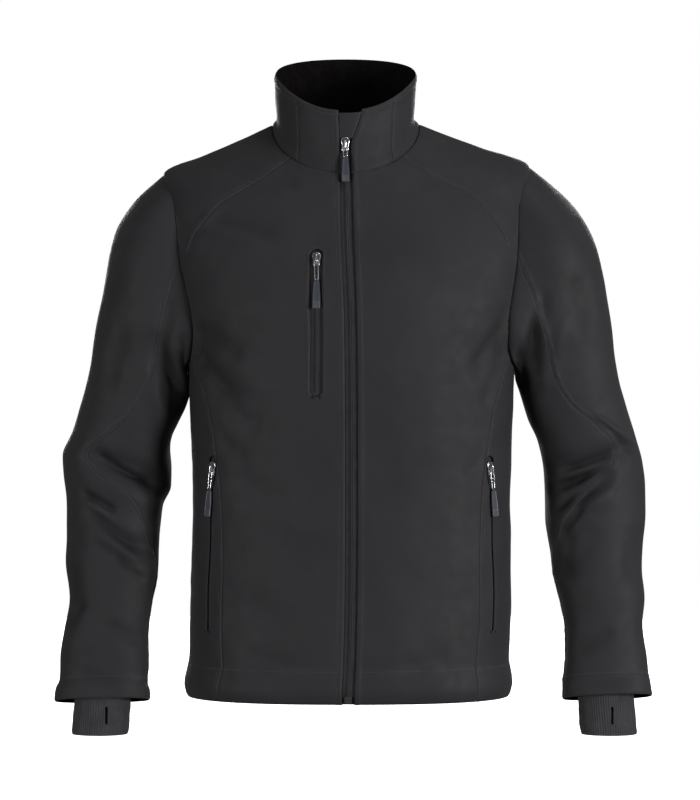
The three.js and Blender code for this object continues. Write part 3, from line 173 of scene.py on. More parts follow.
# Smaller creases laid over the large folds, in the same columns
CREASES = {
    "right": (
        ("front", 220, -212, 233, -272, -2.6, 8), ("front", 205, -262, 201, -306, -2.4, 7),
        ("inner", 204, -300, 215, -386, 2.6, 13),
        ("front", 246, -452, 318, -402, -4.5, 5), ("front", 262, -434, 330, -399, 2.2, 6),
        ("front", 292, -478, 330, -458, -3.2, 4.5), ("front", 262, -522, 322, -478, -3.0, 6),
        ("front", 270, -538, 318, -505, -2.4, 5), ("front", 256, -560, 292, -530, -1.8, 6),
        ("front", 262, -505, 326, -467, 1.6, 8), ("front", 216, -330, 238, -258, -3.0, 7),
        ("front", 232, -372, 250, -300, 1.8, 9), ("front", 300, -330, 276, -250, -1.3, 13),
        ("front", 318, -300, 300, -215, 0.9, 15), ("front", 338, -596, 344, -540, -1.4, 8),
        ("front", 352, -628, 330, -588, -1.6, 6), ("front", 258, -640, 300, -612, -1.3, 9),
        ("front", 284, -690, 330, -676, -1.0, 8), ("back", 238, -440, 330, -404, -3, 6),
        ("back", 246, -478, 318, -452, -2.6, 6), ("back", 262, -540, 320, -500, -2.4, 7),
        ("back", 222, -330, 258, -262, -2, 9), ("back", 276, -640, 336, -600, -1.6, 9),
        ("back", 250, -580, 300, -560, 1.4, 10),
    ),
    "left": (
        ("front", 232, -232, 214, -300, -2.4, 8), ("front", 206, -276, 213, -330, -2.4, 7),
        ("front", 254, -446, 318, -424, -5.6, 5.5), ("front", 262, -424, 330, -402, -3.2, 4.5),
        ("front", 302, -360, 350, -396, 2.4, 4.5), ("front", 306, -368, 352, -404, -1.8, 4),
        ("front", 256, -478, 300, -448, -3.0, 6), ("front", 258, -508, 286, -470, -2.4, 6),
        ("front", 296, -470, 330, -440, 1.5, 8), ("front", 294, -268, 276, -190, -0.7, 12),
        ("front", 224, -308, 236, -214, -2.6, 8),
        ("front", 236, -330, 262, -246, 1.4, 9), ("front", 262, -560, 272, -506, -1.4, 9),
        ("front", 340, -560, 352, -500, -1.0, 12), ("front", 276, -650, 320, -626, -1.2, 9),
        ("front", 292, -694, 344, -682, -1.0, 8), ("back", 252, -440, 340, -406, -3, 6),
        ("back", 258, -486, 324, -458, -2.6, 6), ("back", 270, -548, 326, -512, -2.2, 7),
        ("back", 226, -322, 262, -250, -2, 9), ("back", 284, -646, 342, -606, -1.5, 9),
        ("back", 262, -588, 310, -566, 1.4, 10),
    ),
    "body": (
        ("front", -190, -246, -182, -304, -2.4, 8), ("front", 190, -226, 182, -300, -2.4, 8),
        ("front", -196, -110, -92, -140, -1.6, 10), ("front", -190, -132, -110, -158, 1.0, 9),
        ("front", -186, -252, -132, -288, -2.4, 9), ("front", -188, -286, -138, -342, -2.6, 8),
        ("front", -150, -330, -118, -360, 1.3, 9), ("front", -182, -372, -128, -410, -1.5, 12),
        ("front", -132, -474, -80, -504, -1.3, 13), ("front", -122, -580, -66, -616, -1.1, 16),
        ("front", -96, -210, -84, -286, 0.9, 16), ("front", 186, -246, 150, -300, -2.6, 8),
        ("front", 192, -288, 162, -344, -2.0, 9), ("front", 168, -214, 140, -262, 1.1, 12),
        ("front", 184, -392, 140, -432, -1.0, 14), ("front", 172, -560, 120, -594, -0.9, 16),
        ("front", 118, -650, 60, -660, -0.8, 12), ("front", -128, -648, -64, -664, -1.0, 12),
        ("front", -66, -76, -120, -66, -1.2, 8), ("front", 60, -84, 118, -70, -1.0, 9),
        ("back", -170, -430, 120, -452, -2.4, 11), ("back", -110, -508, 176, -498, -2.2, 12),
        ("back", -176, -548, 60, -560, 1.6, 14), ("back", -196, -270, -130, -330, -2.6, 9),
        ("back", 196, -270, 130, -330, -2.4, 9), ("back", -120, -96, 118, -90, -1.6, 14),
        ("back", -96, -132, 70, -140, 1.2, 13), ("back", -150, -640, 150, -652, -1.2, 14),
    ),
}

# A fold runs this share of its length past its ends, and fades over this share
FOLD_PAST = 0.15
FOLD_FADE = 0.35
# Depth of the trunk over which a fold on one face fades towards the other
FACING_DEPTH = 60
CREASE_STRENGTH = 1.8
SLEEVE_CREASE_STRENGTH = 2.4
# Crease depth, in millimetres, at which the painted shade in a crease is darkest
CREASE_SHADE_DEPTH = 8.0

CHEST_ZIP = ((37.6, -157), (41, -246), (42.2, -336))
HAND_ZIP = ((169, -408), (171.5, -460), (172.5, -520), (175, -575), (174.5, -622))
CHEST_ZIP_OPENING = 15.0
HAND_ZIP_OPENING = 13.0
HAND_ZIP_CLOSED = 0.2
TAPE_OVERLAP = 5.0
OPEN_FROM = 0.45
OPEN_EDGE = {"right": 9.0, "left": 20.0}
SLIDER_UP = 0.46
COLLAR_SUNK = COLLAR_WALL - WALL + 0.3
TAPE_DEPTH = WALL + 0.45
CHAIN_WALL = 1.5
CHAIN_DEPTH = TAPE_DEPTH - 0.3 - CHAIN_WALL
CHEST_BEHIND = 0.9
HAND_BEHIND = 1.7


def fade(value: Array) -> Array:
    """A smooth step from 0 to 1."""
    held = np.clip(value, 0, 1)
    return held * held * (3 - 2 * held)


def mix(a, b, share):
    """A straight blend of a and b."""
    return a + (b - a) * share


def unit(vectors: Array) -> Array:
    """Vectors along the last axis, each scaled to length one."""
    return vectors / np.maximum(np.linalg.norm(vectors, axis=-1, keepdims=True), 1e-12)


def hermite(s: Array, start, leave, end, arrive) -> Array:
    """A smooth curve between two values with given slopes, at a share s of the way."""
    return (
        start * (2 * s**3 - 3 * s**2 + 1) + leave * (s**3 - 2 * s**2 + s)
        + end * (3 * s**2 - 2 * s**3) + arrive * (s**3 - s**2)
    )


def run_along(points: Array) -> Array:
    """Distance run at each point of a path, from 0."""
    return np.concatenate([[0], np.cumsum(np.linalg.norm(np.diff(points, axis=0), axis=1))])


def superellipse(a: Array, b: Array, power) -> Array:
    """How far a boxy round section reaches along the direction (a, b)."""
    return (np.abs(a) ** power + np.abs(b) ** power) ** (-1 / power)


class Table:
    """Rows of sizes read as smooth curves that don't overshoot between rows."""

    def __init__(self, columns: str, rows: Sequence[Sequence[float]]) -> None:
        """Works out the slope of each column at each row.

        Args:
            columns: names of the columns, the first one being the key.
            rows: one row for each value of the key, in rising order.
        """
        data = np.array(rows, float)
        self.names = columns.split()[1:]
        self.knots = data[:, 0]
        self.values = data[:, 1:]
        steps = np.diff(self.values, axis=0) / np.diff(self.knots)[:, None]
        before, after = steps[:-1], steps[1:]
        total = np.where(before + after == 0, 1, before + after)
        inner = np.where(before * after > 0, 2 * before * after / total, 0)
        self.slopes = np.concatenate([steps[:1], inner, steps[-1:]])

    def at(self, value: Array) -> dict[str, Array]:
        """The columns at each value of the key."""
        value = np.asarray(value, float)
        i = np.searchsorted(self.knots[1:-1], value, side="left")
        span = self.knots[i + 1] - self.knots[i]
        s = ((value - self.knots[i]) / span)[..., None]
        span = span[..., None]
        leave, arrive = self.slopes[i] * span, self.slopes[i + 1] * span
        found = hermite(s, self.values[i], leave, self.values[i + 1], arrive)
        return {name: found[..., k] for k, name in enumerate(self.names)}


BODY_TABLE = Table(BODY_COLUMNS, BODY_RINGS)
COLLAR_TABLE = Table(BODY_COLUMNS + " bend_back", COLLAR_RINGS)
ARMHOLE_TABLE = Table("round bearing up", ARMHOLE)
SLEEVE_SEAM_TABLE = Table("along round", SLEEVE_SEAM)


def ring_point(ring: dict[str, Array], bearing: Array) -> Array:
    """A point of a body or collar ring before its shift and tilt."""
    side = np.sin(np.radians(bearing))
    ahead = np.cos(np.radians(bearing))
    depth = np.where(ahead > 0, ring["front"], ring["back"])
    reach = superellipse(ahead / depth, side / ring["half"], ring["square"])
    lean = np.abs(ahead) * reach / depth
    end = np.where(ahead > 0, ring["z_front"], ring["z_back"])
    bend = np.where(ahead > 0, ring["bend"], ring.get("bend_back", ring["bend"]))
    height = mix(ring["z_side"], end, lean**bend)
    return np.stack(np.broadcast_arrays(reach * side, ring["middle"] - reach * ahead, height), axis=-1)


def fold_depth(rows: Iterable[tuple], x: Array, z: Array, facing: Array) -> Array:
    """Depth of a table of folds.

    Args:
        rows: rows of face (front, back, or inner for both), x1, z1, x2, z2, depth and width.
        x: sideways place as seen from the front.
        z: height.
        facing: 1 on the front and -1 on the back.

    Returns:
        The distance out of the cloth at each point.
    """
    total = np.zeros_like(x)
    for face, x1, z1, x2, z2, deep, wide in rows:
        dx, dz = x2 - x1, z2 - z1
        length = math.hypot(dx, dz)
        along = ((x - x1) * dx + (z - z1) * dz) / length**2
        away = ((x - x1) * dz - (z - z1) * dx) / length
        ends = fade((along + FOLD_PAST) / FOLD_FADE) * fade((1 + FOLD_PAST - along) / FOLD_FADE)
        side = 1 if face == "inner" else fade(facing * 2 if face == "front" else -facing * 2)
        total = total + deep * ends * side * np.exp(-((away / wide) ** 2))
    return total


def spot(value: float) -> Array:
    """A number as a single-valued array."""
    return np.array([value], float)


class Surface:
    """A surface over two coordinates, with its normal taken from small steps."""

    steps = (0.5, 2.0)
    turn = 1.0

    def place(self, u: Array, v: Array) -> Array:
        """Points in millimetres."""
        raise NotImplementedError

    def normal(self, u: Array, v: Array) -> Array:
        """Outward normals."""
        du, dv = self.steps
        along_u = self.place(u + du, v) - self.place(u - du, v)
        along_v = self.place(u, v + dv) - self.place(u, v - dv)
        return unit(np.cross(along_u, along_v)) * self.turn


    def at(self, u: float, v: float) -> Pair:
        """The point and the normal at one place."""
        return self.place(spot(u), spot(v))[0], self.normal(spot(u), spot(v))[0]


class RingSurface(Surface):
    """The trunk or the collar without folds, by bearing and height."""

    def __init__(self, table: Table, steps: tuple[float, float]) -> None:
        """Keeps the rings and the steps of its normals."""
        self.table = table
        self.steps = steps

    def place(self, u: Array, v: Array) -> Array:
        """Points of the rings after their shift and tilt."""
        ring = self.table.at(v)
        point = ring_point(ring, u)
        point[..., 2] += ring["tilt"] * point[..., 0]
        point[..., 0] += ring["shift"]
        return point


class FoldedBody(Surface):
    """The trunk with its large folds."""

    def __init__(self, plain: RingSurface) -> None:
        """Keeps the surface that is folded."""
        self.plain = plain

    def place(self, u: Array, v: Array) -> Array:
        """Points of the folded trunk."""
        point = self.plain.place(u, v)
        deep = fold_depth(FOLDS["body"], point[..., 0], point[..., 2], -point[..., 1] / FACING_DEPTH)
        return point + self.plain.normal(u, v) * deep[..., None]


PLAIN_BODY = RingSurface(BODY_TABLE, (0.5, 2.0))
BODY = FoldedBody(PLAIN_BODY)
COLLAR = RingSurface(COLLAR_TABLE, (0.5, 0.02))


class Sleeve(Surface):
    """A sleeve by angle from its outer edge and way down it."""

    steps = (0.5, 0.5)

    def __init__(self, hand: str) -> None:
        """Keeps which sleeve it is: right or left, as worn."""
        self.hand = hand
        self.sign = SIGN[hand]
        self.turn = self.sign
        self.table = Table(SLEEVE_COLUMNS, SLEEVE_RINGS[hand])

    def full_ring(self, angle: Array, along: Array) -> Array:
        """Points of the rings below the head, as on the wearer's left."""
        ring, lower = self.table.at(along), self.table.at(along + 1)
        turn = np.radians(angle)
        reach = superellipse(np.cos(turn), np.sin(turn), SLEEVE_SQUARE)
        wide = reach * np.cos(turn)
        deep = reach * np.sin(turn) * ring["deep"]
        drop = (ring["out_z"] + ring["in_z"] - lower["out_z"] - lower["in_z"]) / 2
        pitch = np.arctan2(ring["y"] - lower["y"], drop)
        return np.stack([
            (ring["out_x"] + ring["in_x"]) / 2 + wide * (ring["out_x"] - ring["in_x"]) / 2,
            ring["y"] - deep * np.cos(pitch),
            (ring["out_z"] + ring["in_z"]) / 2 + wide * (ring["out_z"] - ring["in_z"]) / 2
            + deep * np.sin(pitch),
        ], axis=-1)

    def head(self, angle: Array, along: Array) -> Array:
        """Points of the head, from the armhole to the first full ring."""
        at = ARMHOLE_TABLE.at(np.mod(angle, 360))
        flip = np.array([self.sign, 1, 1])
        start = BODY.place(self.sign * at["bearing"], at["up"]) * flip
        normal = PLAIN_BODY.normal(self.sign * at["bearing"], at["up"]) * flip
        full = np.full_like(along, CAP_LENGTH)
        end = self.full_ring(angle, full)
        span = np.linalg.norm(end - start, axis=-1, keepdims=True)
        top = fade((np.cos(np.radians(angle)) + 0.2) / 1.2)[..., None]
        lift = mix(CAP_LIFT["under"], CAP_LIFT["top"], top)
        leave = unit(normal * lift + UPPER_ARM * (1 - lift))
        leave = leave * span * mix(CAP_FULLNESS["under"], CAP_FULLNESS["top"], top)
        arrive = unit(self.full_ring(angle, full + 1) - end) * span
        return hermite((along / CAP_LENGTH)[..., None], start, leave, end, arrive)

    def plain(self, u: Array, v: Array) -> Array:
        """Points without folds."""
        u, v = np.broadcast_arrays(np.asarray(u, float), np.asarray(v, float))
        low = np.minimum(v, CAP_LENGTH)
        high = np.maximum(v, CAP_LENGTH)
        point = np.where((v < CAP_LENGTH)[..., None], self.head(u, low), self.full_ring(u, high))
        return point * np.array([self.sign, 1, 1])

    def normal(self, u: Array, v: Array) -> Array:
        """Outward normals of the sleeve without its folds."""
        du, dv = self.steps
        held = np.maximum(v, 0.5)
        along_u = self.plain(u + du, held) - self.plain(u - du, held)
        along_v = self.plain(u, held + dv) - self.plain(u, held - dv)
        return unit(np.cross(along_u, along_v)) * self.turn

    def place(self, u: Array, v: Array) -> Array:
        """Points of the folded sleeve."""
        point = self.plain(u, v)
        facing = np.sin(np.radians(u))
        deep = fold_depth(FOLDS[self.hand], np.abs(point[..., 0]), point[..., 2], facing)
        return point + self.normal(u, v) * (deep * fade(v / HEAD_PLAIN))[..., None]


SLEEVES = {hand: Sleeve(hand) for hand in HANDS}
HALVINGS = 34


def solve_rising(rises: Callable, goal: Array, low: Array, high: Array) -> Array:
    """Where a rising function reaches a goal, by halving."""
    low, high = np.broadcast_arrays(np.array(low, float), np.array(high, float))
    for _ in range(HALVINGS):
        middle = (low + high) / 2
        under = rises(middle) < goal
        low, high = np.where(under, middle, low), np.where(under, high, middle)
    return (low + high) / 2


def on_body(rows: Sequence[Sequence[float]], from_back: bool = False) -> Array:
    """Body coordinates of points seen from the front or the back.

    Args:
        rows: rows of distance from the centre line and height.
        from_back: whether they are on the back.

    Returns:
        An array of bearing and height along the side, a row for each point.
    """
    out, z = np.array(rows, float).T

    def bearing_of(share: Array) -> Array:
        return 180 - share if from_back else share

    def up_at(share: Array) -> Array:
        return solve_rising(
            lambda up: ring_point(BODY_TABLE.at(up), bearing_of(share))[..., 2], z, 0 * z, NECK + 0 * z)

    share = solve_rising(
        lambda s: ring_point(BODY_TABLE.at(up_at(s)), bearing_of(s))[..., 0], out, 0 * out, 90 + 0 * out)
    return np.stack([bearing_of(share), up_at(share)], axis=-1)


def bearing_at_width(table: Table, x: Array, up: Array) -> Array:
    """The bearing at which a ring is x away from the centre line, near its front."""
    x, up = np.broadcast_arrays(np.asarray(x, float), np.asarray(up, float))
    ring = table.at(up)
    return np.sign(x) * solve_rising(
        lambda bearing: ring_point(ring, bearing)[..., 0], np.abs(x), 0 * x, 60 + 0 * x)


class Line:
    """A line in surface coordinates, read by its share from 0 to 1."""

    def __init__(self, points: Array) -> None:
        """Keeps evenly spread points of the line."""
        self.points = np.asarray(points, float)

    def at(self, share: Array) -> Array:
        """Coordinates at each share."""
        where = np.clip(share, 0, 1) * (len(self.points) - 1)
        i = np.minimum(where.astype(int), len(self.points) - 2)
        return mix(self.points[i], self.points[i + 1], (where - i)[..., None])

    def around(self) -> "Line":
        """The same line on the other half, with bearings past 180."""
        return Line(self.points * FLIP + np.array([360, 0]))

    def reversed(self) -> "Line":
        """The line from its end to its start."""
        return Line(self.points[::-1])


def join(*parts: tuple[Line, int], finer: int = 8) -> Line:
    """Lines one after the other; each takes as many steps as its number says."""
    points = [parts[0][0].at(np.array([0.0]))]
    for line, steps in parts:
        points.append(line.at(np.arange(1, steps * finer + 1) / (steps * finer)))
    return Line(np.concatenate(points))


def smooth_line(controls: Array, count: int = 160) -> Line:
    """A smooth line through body coordinates, spread evenly by its real length."""
    points = np.asarray(controls, float) * EVEN
    ends = [2 * points[0] - points[1], 2 * points[-1] - points[-2]]
    padded = np.concatenate([ends[:1], points, ends[1:]])
    dense = []
    for i in range(len(points) - 1):
        p0, p1, p2, p3 = padded[i:i + 4]
        d0, d1, d2 = (max(np.linalg.norm(b - a) ** 0.5, 1e-4) for a, b in ((p0, p1), (p1, p2), (p2, p3)))
        m1 = ((p1 - p0) / d0 - (p2 - p0) / (d0 + d1) + (p2 - p1) / d1) * d1
        m2 = ((p2 - p1) / d1 - (p3 - p1) / (d1 + d2) + (p3 - p2) / d2) * d1
        s = np.linspace(0, 1, 40, endpoint=i == len(points) - 2)[:, None]
        dense.append(hermite(s, p1, m1, p2, m2))
    dense = np.concatenate(dense)
    run = run_along(dense)
    even = np.linspace(0, run[-1], count + 1)
    found = np.stack([np.interp(even, run, dense[:, k]) for k in range(2)], axis=-1)
    return Line(found / EVEN)


def armhole_line(start: float, end: float, count: int = 96) -> Line:
    """Part of the armhole seam between two angles."""
    at = ARMHOLE_TABLE.at(np.mod(np.linspace(start, end, count + 1), 360))
    return Line(np.stack([at["bearing"], at["up"]], axis=-1))


def level_line(start: float, end: float, up: float) -> Line:
    """Part of one ring between two bearings."""
    return Line(np.array([[start, up], [end, up]]))


class Edge(Enum):
    """How an edge of a cloth piece is finished."""

    UNDER = "sewn in under its neighbour"
    DOUBLE = "topstitched in two rows beside the seam"
    SINGLE = "topstitched in one row beside the seam"
    ZIP = "turned in beside a zip, with one row of stitches"
    TOP = "turned in at the top of the collar"
    NECK = "drawn in where the collar is sewn on"
    HEM = "turned up, with a row of stitches above"
    CUFF = "turned up at the end of a sleeve"


@dataclass(frozen=True)
class EdgeForm:
    """Sizes of an edge finish, in millimetres from the edge."""

    near: tuple[float, ...]
    rows: tuple[float, ...] = ()
    band: float = 0.0
    raised: float = 0.0
    roll: float = 0.8
    roll_reach: float = 0.8


SEAM_NEAR = (0.35, 0.8, 1.3, 1.8, 2.4, 3.2, 4.0, 4.6, 5.2, 5.8, 6.5, 7.6, 9.4)
EDGE_FORMS = {
    Edge.UNDER: EdgeForm(near=(0.4, 1.0, 2.0, 3.8), roll=0.55, roll_reach=0.9),
    Edge.DOUBLE: EdgeForm(near=SEAM_NEAR, rows=(1.5, 5.4), band=6.2, raised=0.45),
    Edge.SINGLE: EdgeForm(near=(0.35, 0.8, 1.4, 1.9, 2.4, 3.2, 4.6, 6.5), rows=(1.9,), band=2.7, raised=0.3),
    Edge.ZIP: EdgeForm(
        near=(0.3, 0.8, 1.6, 3.0, 4.6, 5.6, 6.2, 6.7, 7.2, 7.8, 8.6, 10.0), rows=(6.7,), band=7.6,
        raised=0.4, roll=1.5, roll_reach=1.5),
    Edge.TOP: EdgeForm(
        near=(0.2, 0.5, 0.9, 1.6, 2.8, 4.2, 5.2, 5.8, 6.3, 6.9, 7.8, 9.4), rows=(5.8,), band=6.8,
        raised=1.0, roll=1.5, roll_reach=1.3),
    Edge.NECK: EdgeForm(near=(0.4, 0.9, 1.5, 2.2, 3.2, 4.6, 6.4), roll=1.9, roll_reach=2.2),
    Edge.HEM: EdgeForm(
        near=(0.4, 1.0, 2.0, 4.0, 8, 14, 20, 26, 32, 36, 38.5, 39.6, 40.4, 41.2, 42.0, 43.2, 46),
        rows=(40.6,), band=41.6, raised=0.35, roll=1.6, roll_reach=1.6),
    Edge.CUFF: EdgeForm(
        near=(0.4, 1.0, 2.0, 4.0, 8, 13, 18, 22, 24.6, 25.6, 26.4, 27.2, 28.2, 30), rows=(26.0,),
        band=27.0, raised=0.35, roll=1.2, roll_reach=1.3),
}


@dataclass
class Stop:
    """A line that a grid keeps to, with finer steps before and after it."""

    share: Array
    before: tuple[float, ...] = ()
    after: tuple[float, ...] = ()
    filled: bool = True


def spaced(length: Array, stops: Sequence[Stop], step: float) -> tuple[Array, list[int]]:
    """Shares along each line of a grid, even in real length but finer beside its stops.

    Args:
        length: the real length of each line, in millimetres.
        stops: the lines that it keeps to, from share 0 to share 1.
        step: the widest step, in millimetres.

    Returns:
        Shares by line and step, and the step of each stop.
    """
    length = np.maximum(np.asarray(length, float), 1e-6)
    full = [np.broadcast_to(np.asarray(s.share, float), length.shape) for s in stops]
    columns, places = [full[0]], [0]
    for k in range(len(stops) - 1):
        low, high = full[k], full[k + 1]
        room = (high - low) * length
        after, before = stops[k].after, stops[k + 1].before
        used = (after[-1] if after else 0) + (before[-1] if before else 0)
        squeeze = np.minimum(1, 0.8 * room / max(used, 1e-6))
        start, end = low, high
        for d in after:
            start = low + d * squeeze / length
            columns.append(start)
        if before:
            end = high - before[-1] * squeeze / length
        if stops[k].filled:
            count = max(1, round(float(np.mean((end - start) * length)) / step))
            columns += [mix(start, end, i / count) for i in range(1, count)]
        for d in reversed(before):
            columns.append(high - d * squeeze / length)
        columns.append(high)
        places.append(len(columns) - 1)
    return np.stack(columns, axis=-1), places


def coons(low: Line, high: Line, start: Line, end: Line) -> Callable:
    """A map from shares across and up a patch to surface coordinates, from its four edges."""
    corner = [line.at(np.array(k, float)) for line in (low, high) for k in (0, 1)]

    def at(s: Array, t: Array) -> Array:
        s2, t2 = s[..., None], t[..., None]
        flat = mix(mix(corner[0], corner[1], s2), mix(corner[2], corner[3], s2), t2)
        return mix(low.at(s), high.at(s), t2) + mix(start.at(t), end.at(t), s2) - flat

    return at


def waves(points: Array, size: float, seed: int, count: int = 14) -> Array:
    """Soft unevenness made of seeded waves, about from -1 to 1.

    Args:
        points: points in millimetres, or any coordinates.
        size: the typical length of a wave.
        seed: the seed of its directions.
        count: how many waves are added up.
    """
    draw = np.random.default_rng(seed)
    total = np.zeros(points.shape[:-1])
    for _ in range(count):
        way = unit(draw.normal(size=points.shape[-1]))
        turn = 2 * math.pi / (size * draw.uniform(0.7, 1.6))
        total = total + np.sin(points @ way * turn + draw.uniform(0, 2 * math.pi))
    return total / math.sqrt(count)


def make_mesh(name: str, points: Array, faces: list, finish: "Finish") -> Piece:
    """A mesh object from points in millimetres.

    Args:
        name: name of the object.
        points: its points, a row each.
        faces: its faces as lists of point numbers, or an array of quads.
        finish: the finish that gives its material.

    Returns:
        The linked object.
    """
    mesh = bpy.data.meshes.new(name)
    rows = faces if isinstance(faces, list) else faces.tolist()
    mesh.from_pydata((np.asarray(points) * MM).tolist(), [], rows)
    mesh.polygons.foreach_set("use_smooth", [True] * len(mesh.polygons))
    mesh.materials.append(finish.material())
    mesh.update()
    piece = bpy.data.objects.new(name, mesh)
    bpy.context.scene.collection.objects.link(piece)
    return piece


# Rows and columns of a grid that lie on each edge, and those next to it
EDGE_AT = {"low": np.s_[0, :], "high": np.s_[-1, :], "start": np.s_[:, 0], "end": np.s_[:, -1]}
NEXT_AT = {"low": np.s_[1, :], "high": np.s_[-2, :], "start": np.s_[:, 1], "end": np.s_[:, -2]}


def grid_runs(points: Array) -> Pair:
    """Distance run along each row and up each column of a grid of points."""
    across = np.linalg.norm(np.diff(points, axis=1), axis=-1)
    up = np.linalg.norm(np.diff(points, axis=0), axis=-1)
    rows, columns = points.shape[:2]
    start = np.concatenate([np.zeros((rows, 1)), np.cumsum(across, axis=1)], axis=1)
    low = np.concatenate([np.zeros((1, columns)), np.cumsum(up, axis=0)], axis=0)
    return start, low


def cell_areas(points: Array) -> Array:
    """Area of each cell of a grid of points, in square millimetres."""
    return np.linalg.norm(np.cross(np.diff(points, axis=1)[:-1], np.diff(points, axis=0)[:, :-1]), axis=-1)


class Grid:
    """Points of a cloth piece in rows and columns, with their normals and distances to the edges."""

    def __init__(self, surface: Surface, uv: Array) -> None:
        """Reads the surface at each coordinate pair."""
        self.uv = uv
        self.points = surface.place(uv[..., 0], uv[..., 1])
        self.normals = surface.normal(uv[..., 0], uv[..., 1])
        self.start, self.low = grid_runs(self.points)
        self.end = self.start[:, -1:] - self.start
        self.high = self.low[-1:] - self.low
        self.slant()

    def slant(self) -> None:
        """Turns distances along grid lines into distances square to each edge."""
        for name, at in EDGE_AT.items():
            edge = self.points[at]
            run = unit(np.gradient(edge, axis=0))
            inward = unit(self.points[NEXT_AT[name]] - edge)
            square = np.sqrt(np.clip(1 - np.sum(run * inward, axis=-1) ** 2, 0.15, 1))
            distance = getattr(self, name)
            shaped = square[:, None] if name in ("start", "end") else square[None, :]
            setattr(self, name, distance * shaped)

    def edge_line(self, edge: str, distance: float) -> Pair:
        """The line at a distance from an edge, with its normals."""
        turned = edge in ("low", "high")
        away = getattr(self, edge)
        points, normals = self.points, self.normals
        if turned:
            away, points, normals = away.T, points.swapaxes(0, 1), normals.swapaxes(0, 1)
        if edge in ("end", "high"):
            away, points, normals = away[:, ::-1], points[:, ::-1], normals[:, ::-1]
        i = np.clip(np.sum(away < distance, axis=1), 1, away.shape[1] - 1)
        row = np.arange(len(away))
        before, after = away[row, i - 1], away[row, i]
        share = np.clip((distance - before) / np.maximum(after - before, 1e-6), 0, 1)[:, None]
        return (
            mix(points[row, i - 1], points[row, i], share),
            unit(mix(normals[row, i - 1], normals[row, i], share)),
        )


# The neighbour of a cell past each of its sides, and the corners of that side in order
RIM_STEPS = (
    (-1, 0, (0, 0), (0, 1)), (1, 0, (1, 1), (1, 0)), (0, -1, (1, 0), (0, 0)), (0, 1, (0, 1), (1, 1)),
)


def wall_faces(kept: Array) -> Array:
    """Quads of a closed wall between two layers of a grid; kept says which cells are cloth."""
    rows, columns = kept.shape[0] + 1, kept.shape[1] + 1
    size = rows * columns
    j, i = np.nonzero(kept)

    def at(row: Array, column: Array, layer: int) -> Array:
        return layer * size + row * columns + column

    quads = [
        np.stack([at(j, i, 0), at(j, i + 1, 0), at(j + 1, i + 1, 0), at(j + 1, i, 0)], axis=-1),
        np.stack([at(j, i, 1), at(j + 1, i, 1), at(j + 1, i + 1, 1), at(j, i + 1, 1)], axis=-1),
    ]
    padded = np.zeros((rows + 1, columns + 1), bool)
    padded[1:-1, 1:-1] = kept
    for dj, di, a, b in RIM_STEPS:
        rim = ~padded[j + 1 + dj, i + 1 + di]
        jj, ii = j[rim], i[rim]
        p, q = (jj + a[0], ii + a[1]), (jj + b[0], ii + b[1])
        quads.append(np.stack([at(*q, 0), at(*p, 0), at(*p, 1), at(*q, 1)], axis=-1))
    return np.concatenate(quads)


def facing_out(points: Array, quads: Array) -> Array:
    """The faces of a closed mesh, turned so that they point out."""
    a, b, c, d = (points[quads[:, k]] for k in range(4))
    volume = float(np.sum(a * np.cross(b, c)) + np.sum(a * np.cross(c, d)))
    return quads[:, ::-1] if volume < 0 else quads


def shell(name: str, outer: Array, inner: Array, finish: "Finish",
          kept: Optional[Array] = None, flat: Optional[Array] = None) -> Piece:
    """A closed thin piece between two grids of points.

    Args:
        name: name of the object.
        outer: the outer face's points in rows and columns.
        inner: the inner face's.
        finish: its finish.
        kept: which cells of the grid are cloth; all, if left out.
        flat: each grid point's place on the flat cloth, in millimetres, for the UV map.

    Returns:
        The object.
    """
    points = np.concatenate([outer.reshape(-1, 3), inner.reshape(-1, 3)])
    if kept is None:
        kept = np.ones((outer.shape[0] - 1, outer.shape[1] - 1), bool)
    piece = make_mesh(name, points, facing_out(points, wall_faces(kept)), finish)
    if flat is not None:
        add_flat_map(piece.data, np.tile(flat.reshape(-1, 2) * MM, (2, 1)))
    return piece


def tube_faces(rings: int, count: int, closed: bool = False) -> list[list[int]]:
    """Faces round a row of rings of points, with flat ends unless it closes on itself."""
    faces = []
    for k in range(rings if closed else rings - 1):
        here, there = k * count, (k + 1) % rings * count
        for m in range(count):
            n = (m + 1) % count
            faces.append([here + m, here + n, there + n, there + m])
    if not closed:
        faces.append(list(reversed(range(count))))
        faces.append([(rings - 1) * count + m for m in range(count)])
    return faces


# Finishes


@dataclass(frozen=True)
class Finish:
    """A material with its colour, roughness, metal share, sheen and shine."""

    name: str
    color: tuple[float, float, float]
    roughness: float
    metallic: float = 0.0
    sheen: float = 0.0
    shine: float = 0.5

    def times(self, factor: float) -> tuple[float, ...]:
        """The colour, lighter or darker by a factor."""
        return tuple(min(1, c * factor) for c in self.color)

    def material(self) -> bpy.types.Material:
        """The material, made once."""
        found = bpy.data.materials.get(self.name)
        if found is None:
            found = bpy.data.materials.new(self.name)
            found.use_nodes = True
            self.dress(Nodes(found, self))
        return found

    def dress(self, nodes: "Nodes") -> None:
        """Adds this finish's own nodes."""
        nodes.vary_color(noise_mm=40, share=0.2)
        nodes.vary_roughness(noise_mm=6, spread=0.08)


# Sockets of the mix node that carry colours
MIX_FIRST, MIX_SECOND, MIX_COLOR = 6, 7, 2
SHEEN_ROUGHNESS = 0.45
SHEEN_TINT = (0.8, 0.82, 0.9, 1)


